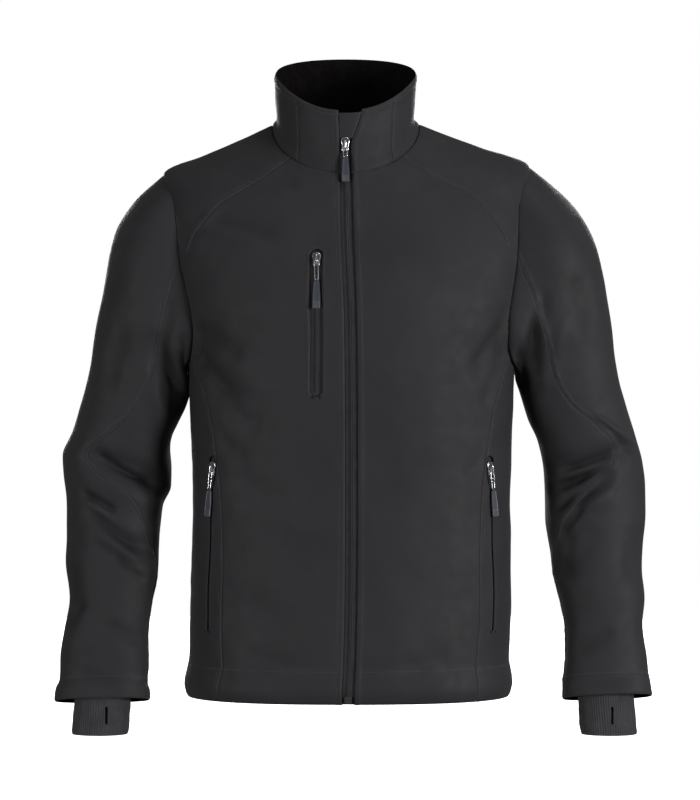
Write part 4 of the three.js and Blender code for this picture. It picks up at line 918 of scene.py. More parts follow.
class Nodes:
    """Small steps that build a finish's nodes on one shader."""

    def __init__(self, material: bpy.types.Material, finish: Finish) -> None:
        """Sets the plain values on the shader's own sockets."""
        self.tree = material.node_tree
        self.shader = self.tree.nodes["Principled BSDF"]
        self.finish = finish
        self.height = None
        for socket, value in (
            ("Base Color", (*finish.color, 1)), ("Roughness", finish.roughness),
            ("Metallic", finish.metallic), ("Specular IOR Level", finish.shine),
            ("Sheen Weight", finish.sheen), ("Sheen Roughness", SHEEN_ROUGHNESS), ("Sheen Tint", SHEEN_TINT),
        ):
            self.shader.inputs[socket].default_value = value
        self.place = self.add("ShaderNodeTexCoord").outputs["Object"]
        self.flat = self.add("ShaderNodeUVMap").outputs["UV"]

    def add(self, kind: str, **values) -> bpy.types.Node:
        """A node with some of its properties set."""
        node = self.tree.nodes.new(kind)
        for key, value in values.items():
            setattr(node, key, value)
        return node

    def link(self, source, target) -> None:
        """Joins an output to an input."""
        self.tree.links.new(source, target)

    def noise(self, size_mm: float, detail: float = 3) -> Socket:
        """Noise whose grain is about size_mm wide, from 0 to 1."""
        node = self.add("ShaderNodeTexNoise")
        node.inputs["Scale"].default_value = 1000 / size_mm
        node.inputs["Detail"].default_value = detail
        self.link(self.place, node.inputs["Vector"])
        return node.outputs["Fac"]

    def math(self, operation: str, a, b=None) -> Socket:
        """One step of arithmetic on sockets or numbers."""
        node = self.add("ShaderNodeMath", operation=operation)
        for k, value in enumerate(v for v in (a, b) if v is not None):
            if isinstance(value, (int, float)):
                node.inputs[k].default_value = value
            else:
                self.link(value, node.inputs[k])
        return node.outputs[0]

    def ramp(self, value, low: float, high: float, to_low: float = 0, to_high: float = 1) -> Socket:
        """A value moved from one range to another, held inside it."""
        node = self.add("ShaderNodeMapRange")
        for key, number in (("From Min", low), ("From Max", high), ("To Min", to_low), ("To Max", to_high)):
            node.inputs[key].default_value = number
        self.link(value, node.inputs["Value"])
        return node.outputs["Result"]

    def tint(self, color, factor, other: tuple[float, float, float]) -> Socket:
        """A colour mixed towards another by a factor."""
        node = self.add("ShaderNodeMix", data_type="RGBA")
        self.link(factor, node.inputs[0])
        if isinstance(color, tuple):
            node.inputs[MIX_FIRST].default_value = (*color, 1)
        else:
            self.link(color, node.inputs[MIX_FIRST])
        node.inputs[MIX_SECOND].default_value = (*other, 1)
        return node.outputs[MIX_COLOR]

    def set_color(self, socket) -> None:
        """Gives the shader its colour."""
        self.link(socket, self.shader.inputs["Base Color"])

    def vary_color(self, noise_mm: float, share: float) -> Socket:
        """Cloudy lighter and darker places, by a share of the colour."""
        light, dark = self.finish.times(1 + share), self.finish.times(1 - share)
        found = self.tint(dark, self.ramp(self.noise(noise_mm), 0.3, 0.7), light)
        self.set_color(found)
        return found

    def vary_roughness(self, noise_mm: float, spread: float) -> None:
        """Uneven roughness round the finish's own."""
        middle = self.finish.roughness
        low, high = max(0.05, middle - spread), min(1, middle + spread)
        self.link(self.ramp(self.noise(noise_mm), 0.3, 0.7, low, high), self.shader.inputs["Roughness"])

    def bump(self, height, distance_mm: float, strength: float = 1) -> None:
        """Adds a bump over what the shader has already."""
        node = self.add("ShaderNodeBump")
        node.inputs["Strength"].default_value = strength
        node.inputs["Distance"].default_value = distance_mm * MM
        self.link(height, node.inputs["Height"])
        if self.height is not None:
            self.link(self.height, node.inputs["Normal"])
        self.height = node.outputs["Normal"]
        self.link(self.height, self.shader.inputs["Normal"])

    def strands(self, across_mm: float, along_u: bool, sharp: float = 1) -> Socket:
        """Even ridges on the flat cloth, from 0 to 1."""
        split = self.add("ShaderNodeSeparateXYZ")
        self.link(self.flat, split.inputs[0])
        run = self.math("MULTIPLY", split.outputs["Y" if along_u else "X"], 1000 / across_mm * 2 * math.pi)
        wave = self.math("ADD", self.math("MULTIPLY", self.math("SINE", run), 0.5), 0.5)
        return self.math("POWER", wave, sharp)


@dataclass(frozen=True)
class Softshell(Finish):
    """Bonded softshell: a tight matt face with a faint weave, worn lighter on its seams, with painted shade
    in its creases.
    """

    weave_mm: float = 0.62
    wear: float = 0.5

    def dress(self, nodes: Nodes) -> None:
        """Cloudy charcoal, fine weave, pressed seams, lint and painted shade darkening the creases."""
        color = nodes.vary_color(noise_mm=70, share=0.09)
        fine = nodes.noise(0.5, 2)
        color = nodes.tint(color, nodes.ramp(fine, 0.5, 0.75, 0, 0.35), self.times(1.5))
        edge = nodes.add("ShaderNodeAttribute", attribute_name="worn").outputs["Fac"]
        rub = nodes.math("MULTIPLY", edge, nodes.ramp(nodes.noise(3.5, 3), 0.35, 0.7, 0.25, 1))
        color = nodes.tint(color, nodes.math("MULTIPLY", rub, self.wear), self.times(1.8))
        lint = nodes.ramp(nodes.noise(1.6, 1), 0.76, 0.79)
        color = nodes.tint(color, nodes.math("MULTIPLY", lint, 0.12), (0.2, 0.2, 0.22))
        # Painted shade: the colour is darkened in the creases, more where they are deeper
        painted_crease_shade = nodes.add("ShaderNodeAttribute", attribute_name="painted_crease_shade").outputs["Fac"]
        color = nodes.tint(color, nodes.math("MULTIPLY", painted_crease_shade, 0.7), self.times(0.3))
        nodes.set_color(color)
        nodes.vary_roughness(noise_mm=14, spread=0.06)
        warp = nodes.strands(self.weave_mm, True)
        weft = nodes.strands(self.weave_mm, False)
        nodes.bump(nodes.math("MAXIMUM", warp, weft), 0.06, 0.6)
        nodes.bump(nodes.noise(2.2, 4), 0.12, 0.5)


@dataclass(frozen=True)
class Lining(Finish):
    """The fleecy inner face where the neck, hem and sleeves are open."""

    def dress(self, nodes: Nodes) -> None:
        """A short brushed nap."""
        nodes.vary_color(noise_mm=9, share=0.25)
        nodes.vary_roughness(noise_mm=3, spread=0.04)
        nodes.bump(nodes.noise(1.1, 5), 0.5, 0.8)


@dataclass(frozen=True)
class Knit(Finish):
    """Ribbed knit with its stitches showing."""

    stitch_mm: float = 1.3

    def dress(self, nodes: Nodes) -> None:
        """Rows of small loops over the ribs, with painted shade between the loops."""
        rows = nodes.strands(self.stitch_mm, True, 0.6)
        half = nodes.strands(self.stitch_mm, False, 0.8)
        loops = nodes.math("MULTIPLY", rows, half)
        color = nodes.vary_color(noise_mm=18, share=0.15)
        # Painted shade: the colour darkens where the loops' bump is low, in the hollows between the loops
        nodes.set_color(nodes.tint(color, nodes.ramp(loops, 0, 0.5, 0.5, 0), self.times(0.45)))
        nodes.vary_roughness(noise_mm=4, spread=0.05)
        nodes.bump(loops, 0.35, 0.9)
        nodes.bump(nodes.noise(0.7, 3), 0.15, 0.6)


@dataclass(frozen=True)
class Webbing(Finish):
    """Woven zip tape in a herringbone."""

    def dress(self, nodes: Nodes) -> None:
        """Narrow chevrons along the tape."""
        nodes.vary_color(noise_mm=12, share=0.15)
        split = nodes.add("ShaderNodeSeparateXYZ")
        nodes.link(nodes.flat, split.inputs[0])
        zigzag = nodes.math("PINGPONG", split.outputs["X"], 0.0016)
        run = nodes.math("MULTIPLY", nodes.math("ADD", split.outputs["Y"], zigzag), 2 * math.pi / 0.0008)
        nodes.bump(nodes.math("SINE", run), 0.12, 0.8)
        nodes.vary_roughness(noise_mm=3, spread=0.06)


@dataclass(frozen=True)
class Thread(Finish):
    """Twisted polyester sewing thread."""

    def dress(self, nodes: Nodes) -> None:
        """A fine twist and small changes of colour from stitch to stitch."""
        nodes.vary_color(noise_mm=5, share=0.3)
        nodes.vary_roughness(noise_mm=2, spread=0.1)
        nodes.bump(nodes.noise(0.25, 2), 0.08, 0.8)


@dataclass(frozen=True)
class Gunmetal(Finish):
    """Tumbled gunmetal, polished bright on its edges."""

    def dress(self, nodes: Nodes) -> None:
        """Brushed bump, fine scratches and brighter rubbed places."""
        color = nodes.vary_color(noise_mm=5, share=0.2)
        shine = nodes.add("ShaderNodeNewGeometry").outputs["Pointiness"]
        rubbed = nodes.ramp(shine, 0.5, 0.56, 0, 0.8)
        nodes.set_color(nodes.tint(color, rubbed, (0.78, 0.79, 0.82)))
        nodes.vary_roughness(noise_mm=0.9, spread=0.1)
        nodes.bump(nodes.noise(0.5, 4), 0.05, 0.6)


@dataclass(frozen=True)
class Moulded(Finish):
    """Moulded rubber, a little scuffed."""

    def dress(self, nodes: Nodes) -> None:
        """Fine grain, scuffs and dust."""
        color = nodes.vary_color(noise_mm=7, share=0.1)
        scuff = nodes.ramp(nodes.noise(1.3, 5), 0.58, 0.72, 0, 0.35)
        nodes.set_color(nodes.tint(color, scuff, self.times(1.7)))
        nodes.vary_roughness(noise_mm=2, spread=0.1)
        nodes.bump(nodes.noise(0.4, 3), 0.05, 0.6)


@dataclass(frozen=True)
class Paper(Finish):
    """White studio paper for the floor, with an even glow."""

    glow: float = 0.75

    def dress(self, nodes: Nodes) -> None:
        """An even glow and hardly any grain."""
        nodes.vary_color(noise_mm=300, share=0.01)
        nodes.shader.inputs["Emission Color"].default_value = (1, 1, 1, 1)
        nodes.shader.inputs["Emission Strength"].default_value = self.glow


CLOTH = Softshell("softshell_charcoal", (0.0205, 0.0195, 0.0212), 0.6, sheen=0.02, shine=0.1)
NAP = Lining("brushed_inner_face", (0.0042, 0.0036, 0.0036), 0.95, shine=0.01)
KNIT = Knit("ribbed_knit", (0.045, 0.044, 0.047), 0.85, sheen=0.05, shine=0.12)
TAPE = Webbing("zip_tape_weave", (0.026, 0.0255, 0.028), 0.7, shine=0.15)
COIL = Finish("zip_coil_nylon", (0.027, 0.027, 0.029), 0.5, shine=0.3)
THREAD = Thread("sewing_thread", (0.046, 0.044, 0.048), 0.6, shine=0.2)
BARTACK_THREAD = Thread("bartack_thread", (0.007, 0.007, 0.008), 0.6, shine=0.2)
BINDING = Softshell("edge_binding", (0.032, 0.031, 0.034), 0.7, shine=0.12)
PAPER = Paper("studio_paper", (0.92, 0.92, 0.92), 0.9)
METAL = Gunmetal("gunmetal", (0.15, 0.153, 0.165), 0.24, metallic=1.0)
RUBBER = Moulded("slate_rubber", (0.028, 0.031, 0.041), 0.45, shine=0.4)
RUBBER_TIP = Moulded("slate_rubber_grip", (0.045, 0.048, 0.058), 0.42, shine=0.45)


SLOT_STITCH = 2.8
# Share of its length, from its foot, above which a slot stands open
SLOT_OPENS = 0.78
SLOT_FINE = (0.4, 0.9, 1.5, 2.2, 2.9, 3.6, 4.6, 6.5)
SEWN_WITHIN = 2.6
CREASE_TO_SLOT = 22
# Height and length of the soft waves in the cloth, with the step of their seed
SOFTNESS = ((0.55, 95, 7), (0.22, 34, 8))
GROOVE = 0.42
PUCKER = 0.13
DRAWN = 0.3


@dataclass
class Opening:
    """A slot through a cloth piece, for a pocket zip."""

    table: tuple[tuple[float, float], ...]
    width: float
    hand: str
    behind: float
    closed: float = 1.0

    def __post_init__(self) -> None:
        """Finds the line of the slot in body coordinates, with its real length."""
        self.line = smooth_line(on_body(self.table)[::-1]).points * np.array([SIGN[self.hand], 1])
        self.low_up, self.high_up = self.line[0, 1], self.line[-1, 1]
        self.run = run_along(BODY.place(*self.line.T))

    def middle(self, up: Array) -> Array:
        """Bearing of the slot's middle line at a height."""
        return np.interp(up, self.line[:, 1], self.line[:, 0])

    def per_degree(self, up: Array) -> Array:
        """Millimetres across the cloth for each degree of bearing."""
        bearing = self.middle(up)
        return np.linalg.norm(BODY.place(bearing + 0.5, up) - BODY.place(bearing - 0.5, up), axis=-1)

    def half(self, up: Array, grown: float = 0.0) -> Array:
        """Half the slot's width in degrees of bearing, rounded at its ends; grown widens it all round."""
        share = (up - self.low_up) / (self.high_up - self.low_up)
        reach = self.width / 2 * mix(self.closed, 1, fade((share - SLOT_OPENS) / 0.1)) + grown
        end = np.minimum(up - self.low_up, self.high_up - up) + grown
        rounding = np.sqrt(np.clip(1 - (1 - np.clip(end / reach, 0, 1)) ** 2, 0.02, 1))
        return reach * rounding / self.per_degree(up)

    def outline(self, grown: float) -> Array:
        """A closed loop of body coordinates round the slot."""
        low, high = self.low_up - grown, self.high_up + grown
        share = (1 - np.cos(np.linspace(0, math.pi, 121))) / 2
        up = mix(low, high, share)
        left = np.stack([self.middle(up) - self.half(up, grown), up], axis=-1)
        right = np.stack([self.middle(up) + self.half(up, grown), up], axis=-1)
        return np.concatenate([left, right[::-1], left[:1]])

    def place(self, run: Array, lateral: Array) -> Pair:
        """Points and normals beside the slot's middle line, by real distances along and across it."""
        run, lateral = np.broadcast_arrays(run, lateral)
        up = np.interp(run, self.run, self.line[:, 1])
        bearing = self.middle(up) + lateral / self.per_degree(up)
        return BODY.place(bearing, up), BODY.normal(bearing, up)


# Share of an edge over which one finish changes into the next
PART_CHANGE = 0.012


@dataclass(frozen=True)
class Part:
    """The finish of an edge between two shares of its length."""

    edge: Edge
    low: float = 0.0
    high: float = 1.0

    def weight(self, share: Array) -> Array:
        """1 inside the part and 0 outside it, with a short change between."""
        after = 1.0 if self.low == 0 else fade((share - self.low) / PART_CHANGE + 0.5)
        before = 1.0 if self.high == 1 else fade((self.high - share) / PART_CHANGE + 0.5)
        return after * before * np.ones_like(share)


@dataclass
class ClothPiece:
    """One cut piece of cloth, dressed over the solid of the same name."""

    node: str
    surface: Surface
    patch: Callable
    edges: dict[str, tuple[Part, ...]]
    column_knots: tuple[float, ...] = ()
    row_knots: tuple[float, ...] = ()
    wall: float = WALL
    step: float = 4.0
    opening: Optional[Opening] = None
    creases: str = "body"
    seed: int = 1

    def lay_out(self) -> None:
        """Works out the grid: finer steps beside the seams and round an opening."""
        rough = np.linspace(0, 1, 41)
        uv = self.patch(*np.meshgrid(rough, rough))
        spots = self.surface.place(uv[..., 0], uv[..., 1])
        widths = np.linalg.norm(np.diff(spots, axis=1), axis=-1).sum(1)
        heights = np.linalg.norm(np.diff(spots, axis=0), axis=-1).sum(0)
        near = {name: EDGE_FORMS[parts[0].edge].near for name, parts in self.edges.items()}
        rows = [
            Stop(0.0, after=near["low"]), *(Stop(k) for k in self.row_knots), Stop(1.0, before=near["high"])]
        ends = self.slot_ends() if self.opening else []
        for share in ends:
            rows.append(Stop(share, before=SLOT_FINE, after=SLOT_FINE))
        rows.sort(key=lambda stop: stop.share)
        lines, places = spaced(np.array([heights.mean()]), rows, self.step * 1.1)
        self.t = lines[0]
        width = np.interp(self.t, rough, widths)
        columns = [Stop(0.0, after=near["start"])]
        columns += [*(Stop(k) for k in self.column_knots), Stop(1.0, before=near["end"])]
        if self.opening:
            left, right = self.slot_share(self.t, -1), self.slot_share(self.t, 1)
            columns[1:1] = [Stop(left, before=SLOT_FINE, filled=False), Stop(right, after=SLOT_FINE)]
        self.s, sides = spaced(width, columns, self.step)
        self.grid = Grid(self.surface, self.patch(self.s, np.broadcast_to(self.t[:, None], self.s.shape)))
        self.kept = np.ones((self.s.shape[0] - 1, self.s.shape[1] - 1), bool)
        self.slot_rows, self.slot_columns = (0, 0), (0, 0)
        if self.opening:
            shares = [stop.share for stop in rows]
            self.slot_rows = tuple(places[shares.index(share)] for share in ends)
            self.slot_columns = (sides[1], sides[2])
            self.kept[slice(*self.slot_rows), slice(*self.slot_columns)] = False

    def slot_ends(self) -> list[float]:
        """Shares of the height at which the slot ends."""
        t = np.linspace(0, 1, 400)
        ups = self.patch(self.slot_share(t), t)[:, 1]
        return [float(np.interp(up, ups, t)) for up in (self.opening.low_up, self.opening.high_up)]

    def slot_share(self, t: Array, side: int = 0) -> Array:
        """Where a row of the patch crosses the slot's middle (0) or one of its sides (-1 or 1)."""
        opening = self.opening

        def past(s: Array) -> Array:
            uv = self.patch(s, t)
            up = np.clip(uv[..., 1], opening.low_up, opening.high_up)
            half = opening.half(up) if side else 0
            return uv[..., 0] - opening.middle(up) - side * half

        return solve_rising(past, 0.0, 0 * t, 1 + 0 * t)

    def border(self) -> Iterable[Pair]:
        """Points and normals along each edge."""
        grid = self.grid
        for at in EDGE_AT.values():
            yield grid.points[at], grid.normals[at]

    def share_normals(self, tree: KDTree, normals: Array, owners: Array, number: int) -> None:
        """Turns the normals near each edge towards those of the piece sewn to it."""
        grid = self.grid
        turned = grid.normals.copy()
        for name, at in EDGE_AT.items():
            own = grid.normals[at]
            shift = np.zeros_like(own)
            for k, point in enumerate(grid.points[at]):
                near = tree.find_range(Vector(point), SEWN_WITHIN)
                others = [i for _, i, _ in near if owners[i] != number]
                if others:
                    shift[k] = unit(own[k] + unit(normals[others].mean(0))) - own[k]
            weight = np.exp(-getattr(grid, name) / 4)[..., None]
            turned += (shift[None] if name in ("low", "high") else shift[:, None]) * weight
        grid.normals = unit(turned)

    def share_along(self, name: str) -> Array:
        """How far along an edge each point of the grid lies."""
        return self.s if name in ("low", "high") else np.broadcast_to(self.t[:, None], self.s.shape)

    def fold_relief(self, inner: Array) -> Array:
        """Creases and softness, which fade out at the seams and round a slot, and the painted shade of the
        creases.
        """
        points, uv = self.grid.points, self.grid.uv
        x, z = points[..., 0], points[..., 2]
        deep = np.zeros_like(x)
        if self.creases == "body":
            deep = fold_depth(CREASES["body"], x, z, -points[..., 1] / FACING_DEPTH)
        elif self.creases:
            bowed = z + 3 * waves(points, 130, 5)
            facing = np.sin(np.radians(uv[..., 0]))
            deep = fold_depth(CREASES[self.creases], np.abs(x), bowed, facing) * fade(uv[..., 1] / 50)
        strength = CREASE_STRENGTH if self.creases == "body" else SLEEVE_CREASE_STRENGTH
        clear = fade((self.slot_away + 1) / CREASE_TO_SLOT)
        deep = deep * strength * mix(0.15, 1, fade(inner / 13)) * clear
        # Painted shade: how dark each crease is painted, by its depth; weaker on the trunk than on the
        # sleeves
        self.painted_crease_shade = np.clip(-deep / CREASE_SHADE_DEPTH, 0, 1) * (0.4 if self.creases == "body" else 1)
        soft = sum(high * waves(points, long, self.seed + k) for high, long, k in SOFTNESS)
        return deep + soft * fade(inner / 12) * clear

    def relief(self) -> Pair:
        """Distance out of the plain surface, and how far the edges roll in."""
        grid = self.grid
        inner = np.minimum.reduce([grid.start, grid.end, grid.low, grid.high])
        self.slot_away = self.away_from_slot()
        deep = self.fold_relief(inner)
        roll = np.zeros_like(deep)
        self.worn = np.zeros_like(deep)
        for name, parts in self.edges.items():
            away = getattr(grid, name)
            for part in parts:
                form = EDGE_FORMS[part.edge]
                weight = part.weight(self.share_along(name))
                band = fade((form.band + 0.7 - away) / 1.4) * form.raised
                groove = sum(GROOVE * np.exp(-(((away - row) / 0.55) ** 2)) for row in form.rows)
                pucker = sum(PUCKER * np.exp(-(((away - row) / 5.0) ** 2)) for row in form.rows)
                drawn = DRAWN * np.exp(-away / 9) * (1 - np.exp(-away / 1.5))
                deep = deep + weight * (
                    band - groove + pucker * waves(grid.points, 9, self.seed + 31)
                    + drawn * waves(grid.points, 21, self.seed + 17))
                roll = np.maximum(roll, weight * form.roll * np.exp(-((away / form.roll_reach) ** 2)))
                rubbed = 0.7 * np.exp(-(((away - 0.9) / 0.8) ** 2))
                if form.band:
                    rubbed = np.maximum(rubbed, 0.8 * np.exp(-(((away - form.band) / 0.9) ** 2)))
                self.worn = np.maximum(self.worn, weight * rubbed)
        if self.opening:
            away = self.slot_away
            row = np.exp(-(((away - SLOT_STITCH) / 0.5) ** 2))
            deep = deep + 0.4 * fade((4.2 - away) / 1.4) - 0.35 * row
            roll = np.maximum(roll, 1.0 * np.exp(-((away / 0.9) ** 2)))
            self.worn = np.maximum(self.worn, 0.35 * np.exp(-((away / 1.2) ** 2)))
        return deep, roll

    def away_from_slot(self) -> Array:
        """Distance from the slot's rim, far where there is no slot."""
        grid = self.grid
        if not self.opening:
            return np.full(grid.uv.shape[:2], 1000.0)
        (low, high), (left, right) = self.slot_rows, self.slot_columns
        column = np.arange(grid.uv.shape[1])[None, :]
        row = np.arange(grid.uv.shape[0])[:, None]
        before, after = grid.start[:, left:left + 1], grid.start[:, right:right + 1]
        beside = np.where(column <= left, before - grid.start, grid.start - after)
        above = np.where(row > high, grid.low - grid.low[high], 0.0)
        past = np.where(row < low, grid.low[low] - grid.low, above)
        return np.hypot(np.maximum(beside, 0), past)

    def build(self) -> Piece:
        grid = self.grid
        deep, roll = self.relief()
        self.lift = deep - roll
        middle = grid.points
        grid.points = middle + grid.normals * self.lift[..., None]
        inner = middle + grid.normals * (deep - self.wall + 0.5 * roll)[..., None]
        flat = np.stack([grid.start, grid.low], axis=-1)
        piece = shell(f"{self.node}_cloth", grid.points, inner, CLOTH, self.kept, flat)
        mesh = piece.data
        mesh.materials.append(NAP.material())
        lining = np.zeros(len(mesh.polygons), np.int32)
        count = int(self.kept.sum())
        lining[count:2 * count] = 1
        mesh.polygons.foreach_set("material_index", lining)
        # Point attributes for the material: the worn seams and the painted shade in the creases
        for name, values in (("worn", self.worn), ("painted_crease_shade", self.painted_crease_shade)):
            kept = mesh.attributes.new(name, "FLOAT", "POINT")
            kept.data.foreach_set("value", np.tile(values.ravel(), 2))
        remove_loose(mesh)
        declare(piece, self.node)
        state_sheet(grid.start, grid.low, float(cell_areas(grid.points)[self.kept].sum()))
        return piece

    def stitch_lines(self) -> Iterable[Pair]:
        """Each row of stitches as points and normals."""
        for name, parts in self.edges.items():
            shares = self.share_along(name)[EDGE_AT[name]]
            for part in parts:
                used = (shares >= part.low) & (shares <= part.high)
                for row in EDGE_FORMS[part.edge].rows:
                    points, normals = self.grid.edge_line(name, row)
                    yield points[used], normals[used]
        if self.opening:
            yield self.slot_stitches()

    def slot_stitches(self) -> Pair:
        """The row of stitches round the slot."""
        loop = self.opening.outline(SLOT_STITCH)
        nodes = self.grid.uv.reshape(-1, 2) * EVEN
        nearest = [int(np.argmin(np.sum((nodes - place * EVEN) ** 2, axis=1))) for place in loop]
        lift = self.lift.ravel()[nearest]
        points, normals = self.surface.place(*loop.T), self.surface.normal(*loop.T)
        return points + normals * lift[:, None], normals


def declare(piece: Piece, node: str = "", body: str = JACKET) -> Piece:
    """Hides the solid that a piece stands for and hangs the piece on the body it rides on."""
    if node:
        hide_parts(node)
    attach(piece, body)
    return piece


def state_sheet(start: Array, low: Array, area: float) -> None:
    """Works out the width and length of the rectangle that holds a piece laid flat; nothing is kept or
    stated.

    Args:
        start: distance run along each row of its grid.
        low: distance run up each column.
        area: its area in square millimetres; not used.
    """
    width, length = float(start[:, -1].max()) * MM, float(low[-1].max()) * MM
    width = max(width, LEAST_WIDTH)


def add_flat_map(mesh: Mesh, flat: Array) -> None:
    """Gives each point its place on the flat cloth, in metres, as the UV map."""
    layer = mesh.uv_layers.new(name="flat")
    corner = np.zeros(len(mesh.loops), np.int32)
    mesh.loops.foreach_get("vertex_index", corner)
    layer.data.foreach_set("uv", flat[corner].ravel())


def remove_loose(mesh: Mesh) -> None:
    """Deletes points that no face uses."""
    edit = bmesh.new()
    edit.from_mesh(mesh)
    bmesh.ops.delete(edit, geom=[v for v in edit.verts if not v.link_faces], context="VERTS")
    edit.to_mesh(mesh)
    edit.free()


# Places along a stitch, with its thickness and its height there
STITCH_SHARES = np.array([0, 0.12, 0.5, 0.88, 1.0])
STITCH_THICK = np.array([0.25, 0.8, 1.0, 0.8, 0.25])
STITCH_RAISED = np.array([-0.35, 0.0, 0.1, 0.0, -0.35])
STITCH_RINGS = len(STITCH_SHARES)
STITCH_CORNERS = 5
STITCH_POINTS = STITCH_RINGS * STITCH_CORNERS
*STITCH_SIDES, STITCH_FOOT, STITCH_HEAD = tube_faces(STITCH_RINGS, STITCH_CORNERS)
STITCH_ENDS = (STITCH_FOOT, STITCH_HEAD)


class Stitching:
    """Rows of stitches that lie in the grooves of the cloth."""

    length = 2.7
    gap = 0.75
    radius = 0.3

    def __init__(self, name: str) -> None:
        """Starts with no rows."""
        self.name = name
        self.points: list[Array] = []
        self.faces: list[Array] = []
        self.count = 0

    def add_row(self, points: Array, normals: Array, lift: float = 0.12) -> None:
        """Adds stitches along a line of points."""
        run = run_along(points)
        if run[-1] < 2 * self.length:
            return
        keep = np.concatenate([[True], np.diff(run) > 1e-6])
        run, points, normals = run[keep], points[keep], normals[keep]
        pitch = self.length + self.gap
        starts = np.arange(0.5 * pitch, run[-1] - pitch, pitch)
        thick = STITCH_THICK * self.radius
        at = starts[:, None] + STITCH_SHARES * self.length
        line = np.stack([np.interp(at, run, points[:, k]) for k in range(3)], axis=-1)
        out = unit(np.stack([np.interp(at, run, normals[:, k]) for k in range(3)], axis=-1))
        along = unit(line[:, -1:] - line[:, :1])
        side = unit(np.cross(out, along))
        line = line + out * (STITCH_RAISED + lift)[:, None]
        turns = np.radians(np.arange(STITCH_CORNERS) * 72)
        ring = (
            line[:, :, None]
            + side[:, :, None] * (np.cos(turns)[:, None] * thick[:, None, None])
            + out[:, :, None] * (np.sin(turns)[:, None] * thick[:, None, None])
        )
        offsets = self.count + STITCH_POINTS * np.arange(len(starts))
        self.points.append(ring.reshape(-1, 3))
        self.faces.append((np.array(STITCH_SIDES)[None] + offsets[:, None, None]).reshape(-1, 4))
        self.count += STITCH_POINTS * len(starts)

    def build(self, finish: Finish = THREAD) -> Piece:
        """Makes all rows as one mesh."""
        points = np.concatenate(self.points)
        faces = np.concatenate(self.faces).tolist()
        for first in range(0, self.count, STITCH_POINTS):
            faces += [[first + k for k in end] for end in STITCH_ENDS]
        return declare(make_mesh(self.name, points, faces, finish))


class Bartacks(Stitching):
    """Close bars of stitches that take the strain at a slot's foot."""

    length = 1.7
    gap = 0.1
    radius = 0.36


# Pattern of the trunk


NECK_FRONT_STEPS = 6
NECK_BACK_STEPS = 6
YOKE_STEPS = 5
SIDE_STEPS = 12
ARM_STEPS = 6
COLLAR_SEAM_STEP = 5
UNDER = (Part(Edge.UNDER),)
DOUBLE = (Part(Edge.DOUBLE),)
HEM = (Part(Edge.HEM),)
SINGLE = (Part(Edge.SINGLE),)
ZIP = (Part(Edge.ZIP),)


def arm_point(angle: float) -> Array:
    """The armhole seam's point at an angle, as a single row."""
    return armhole_line(angle, angle, 1).points[:1]


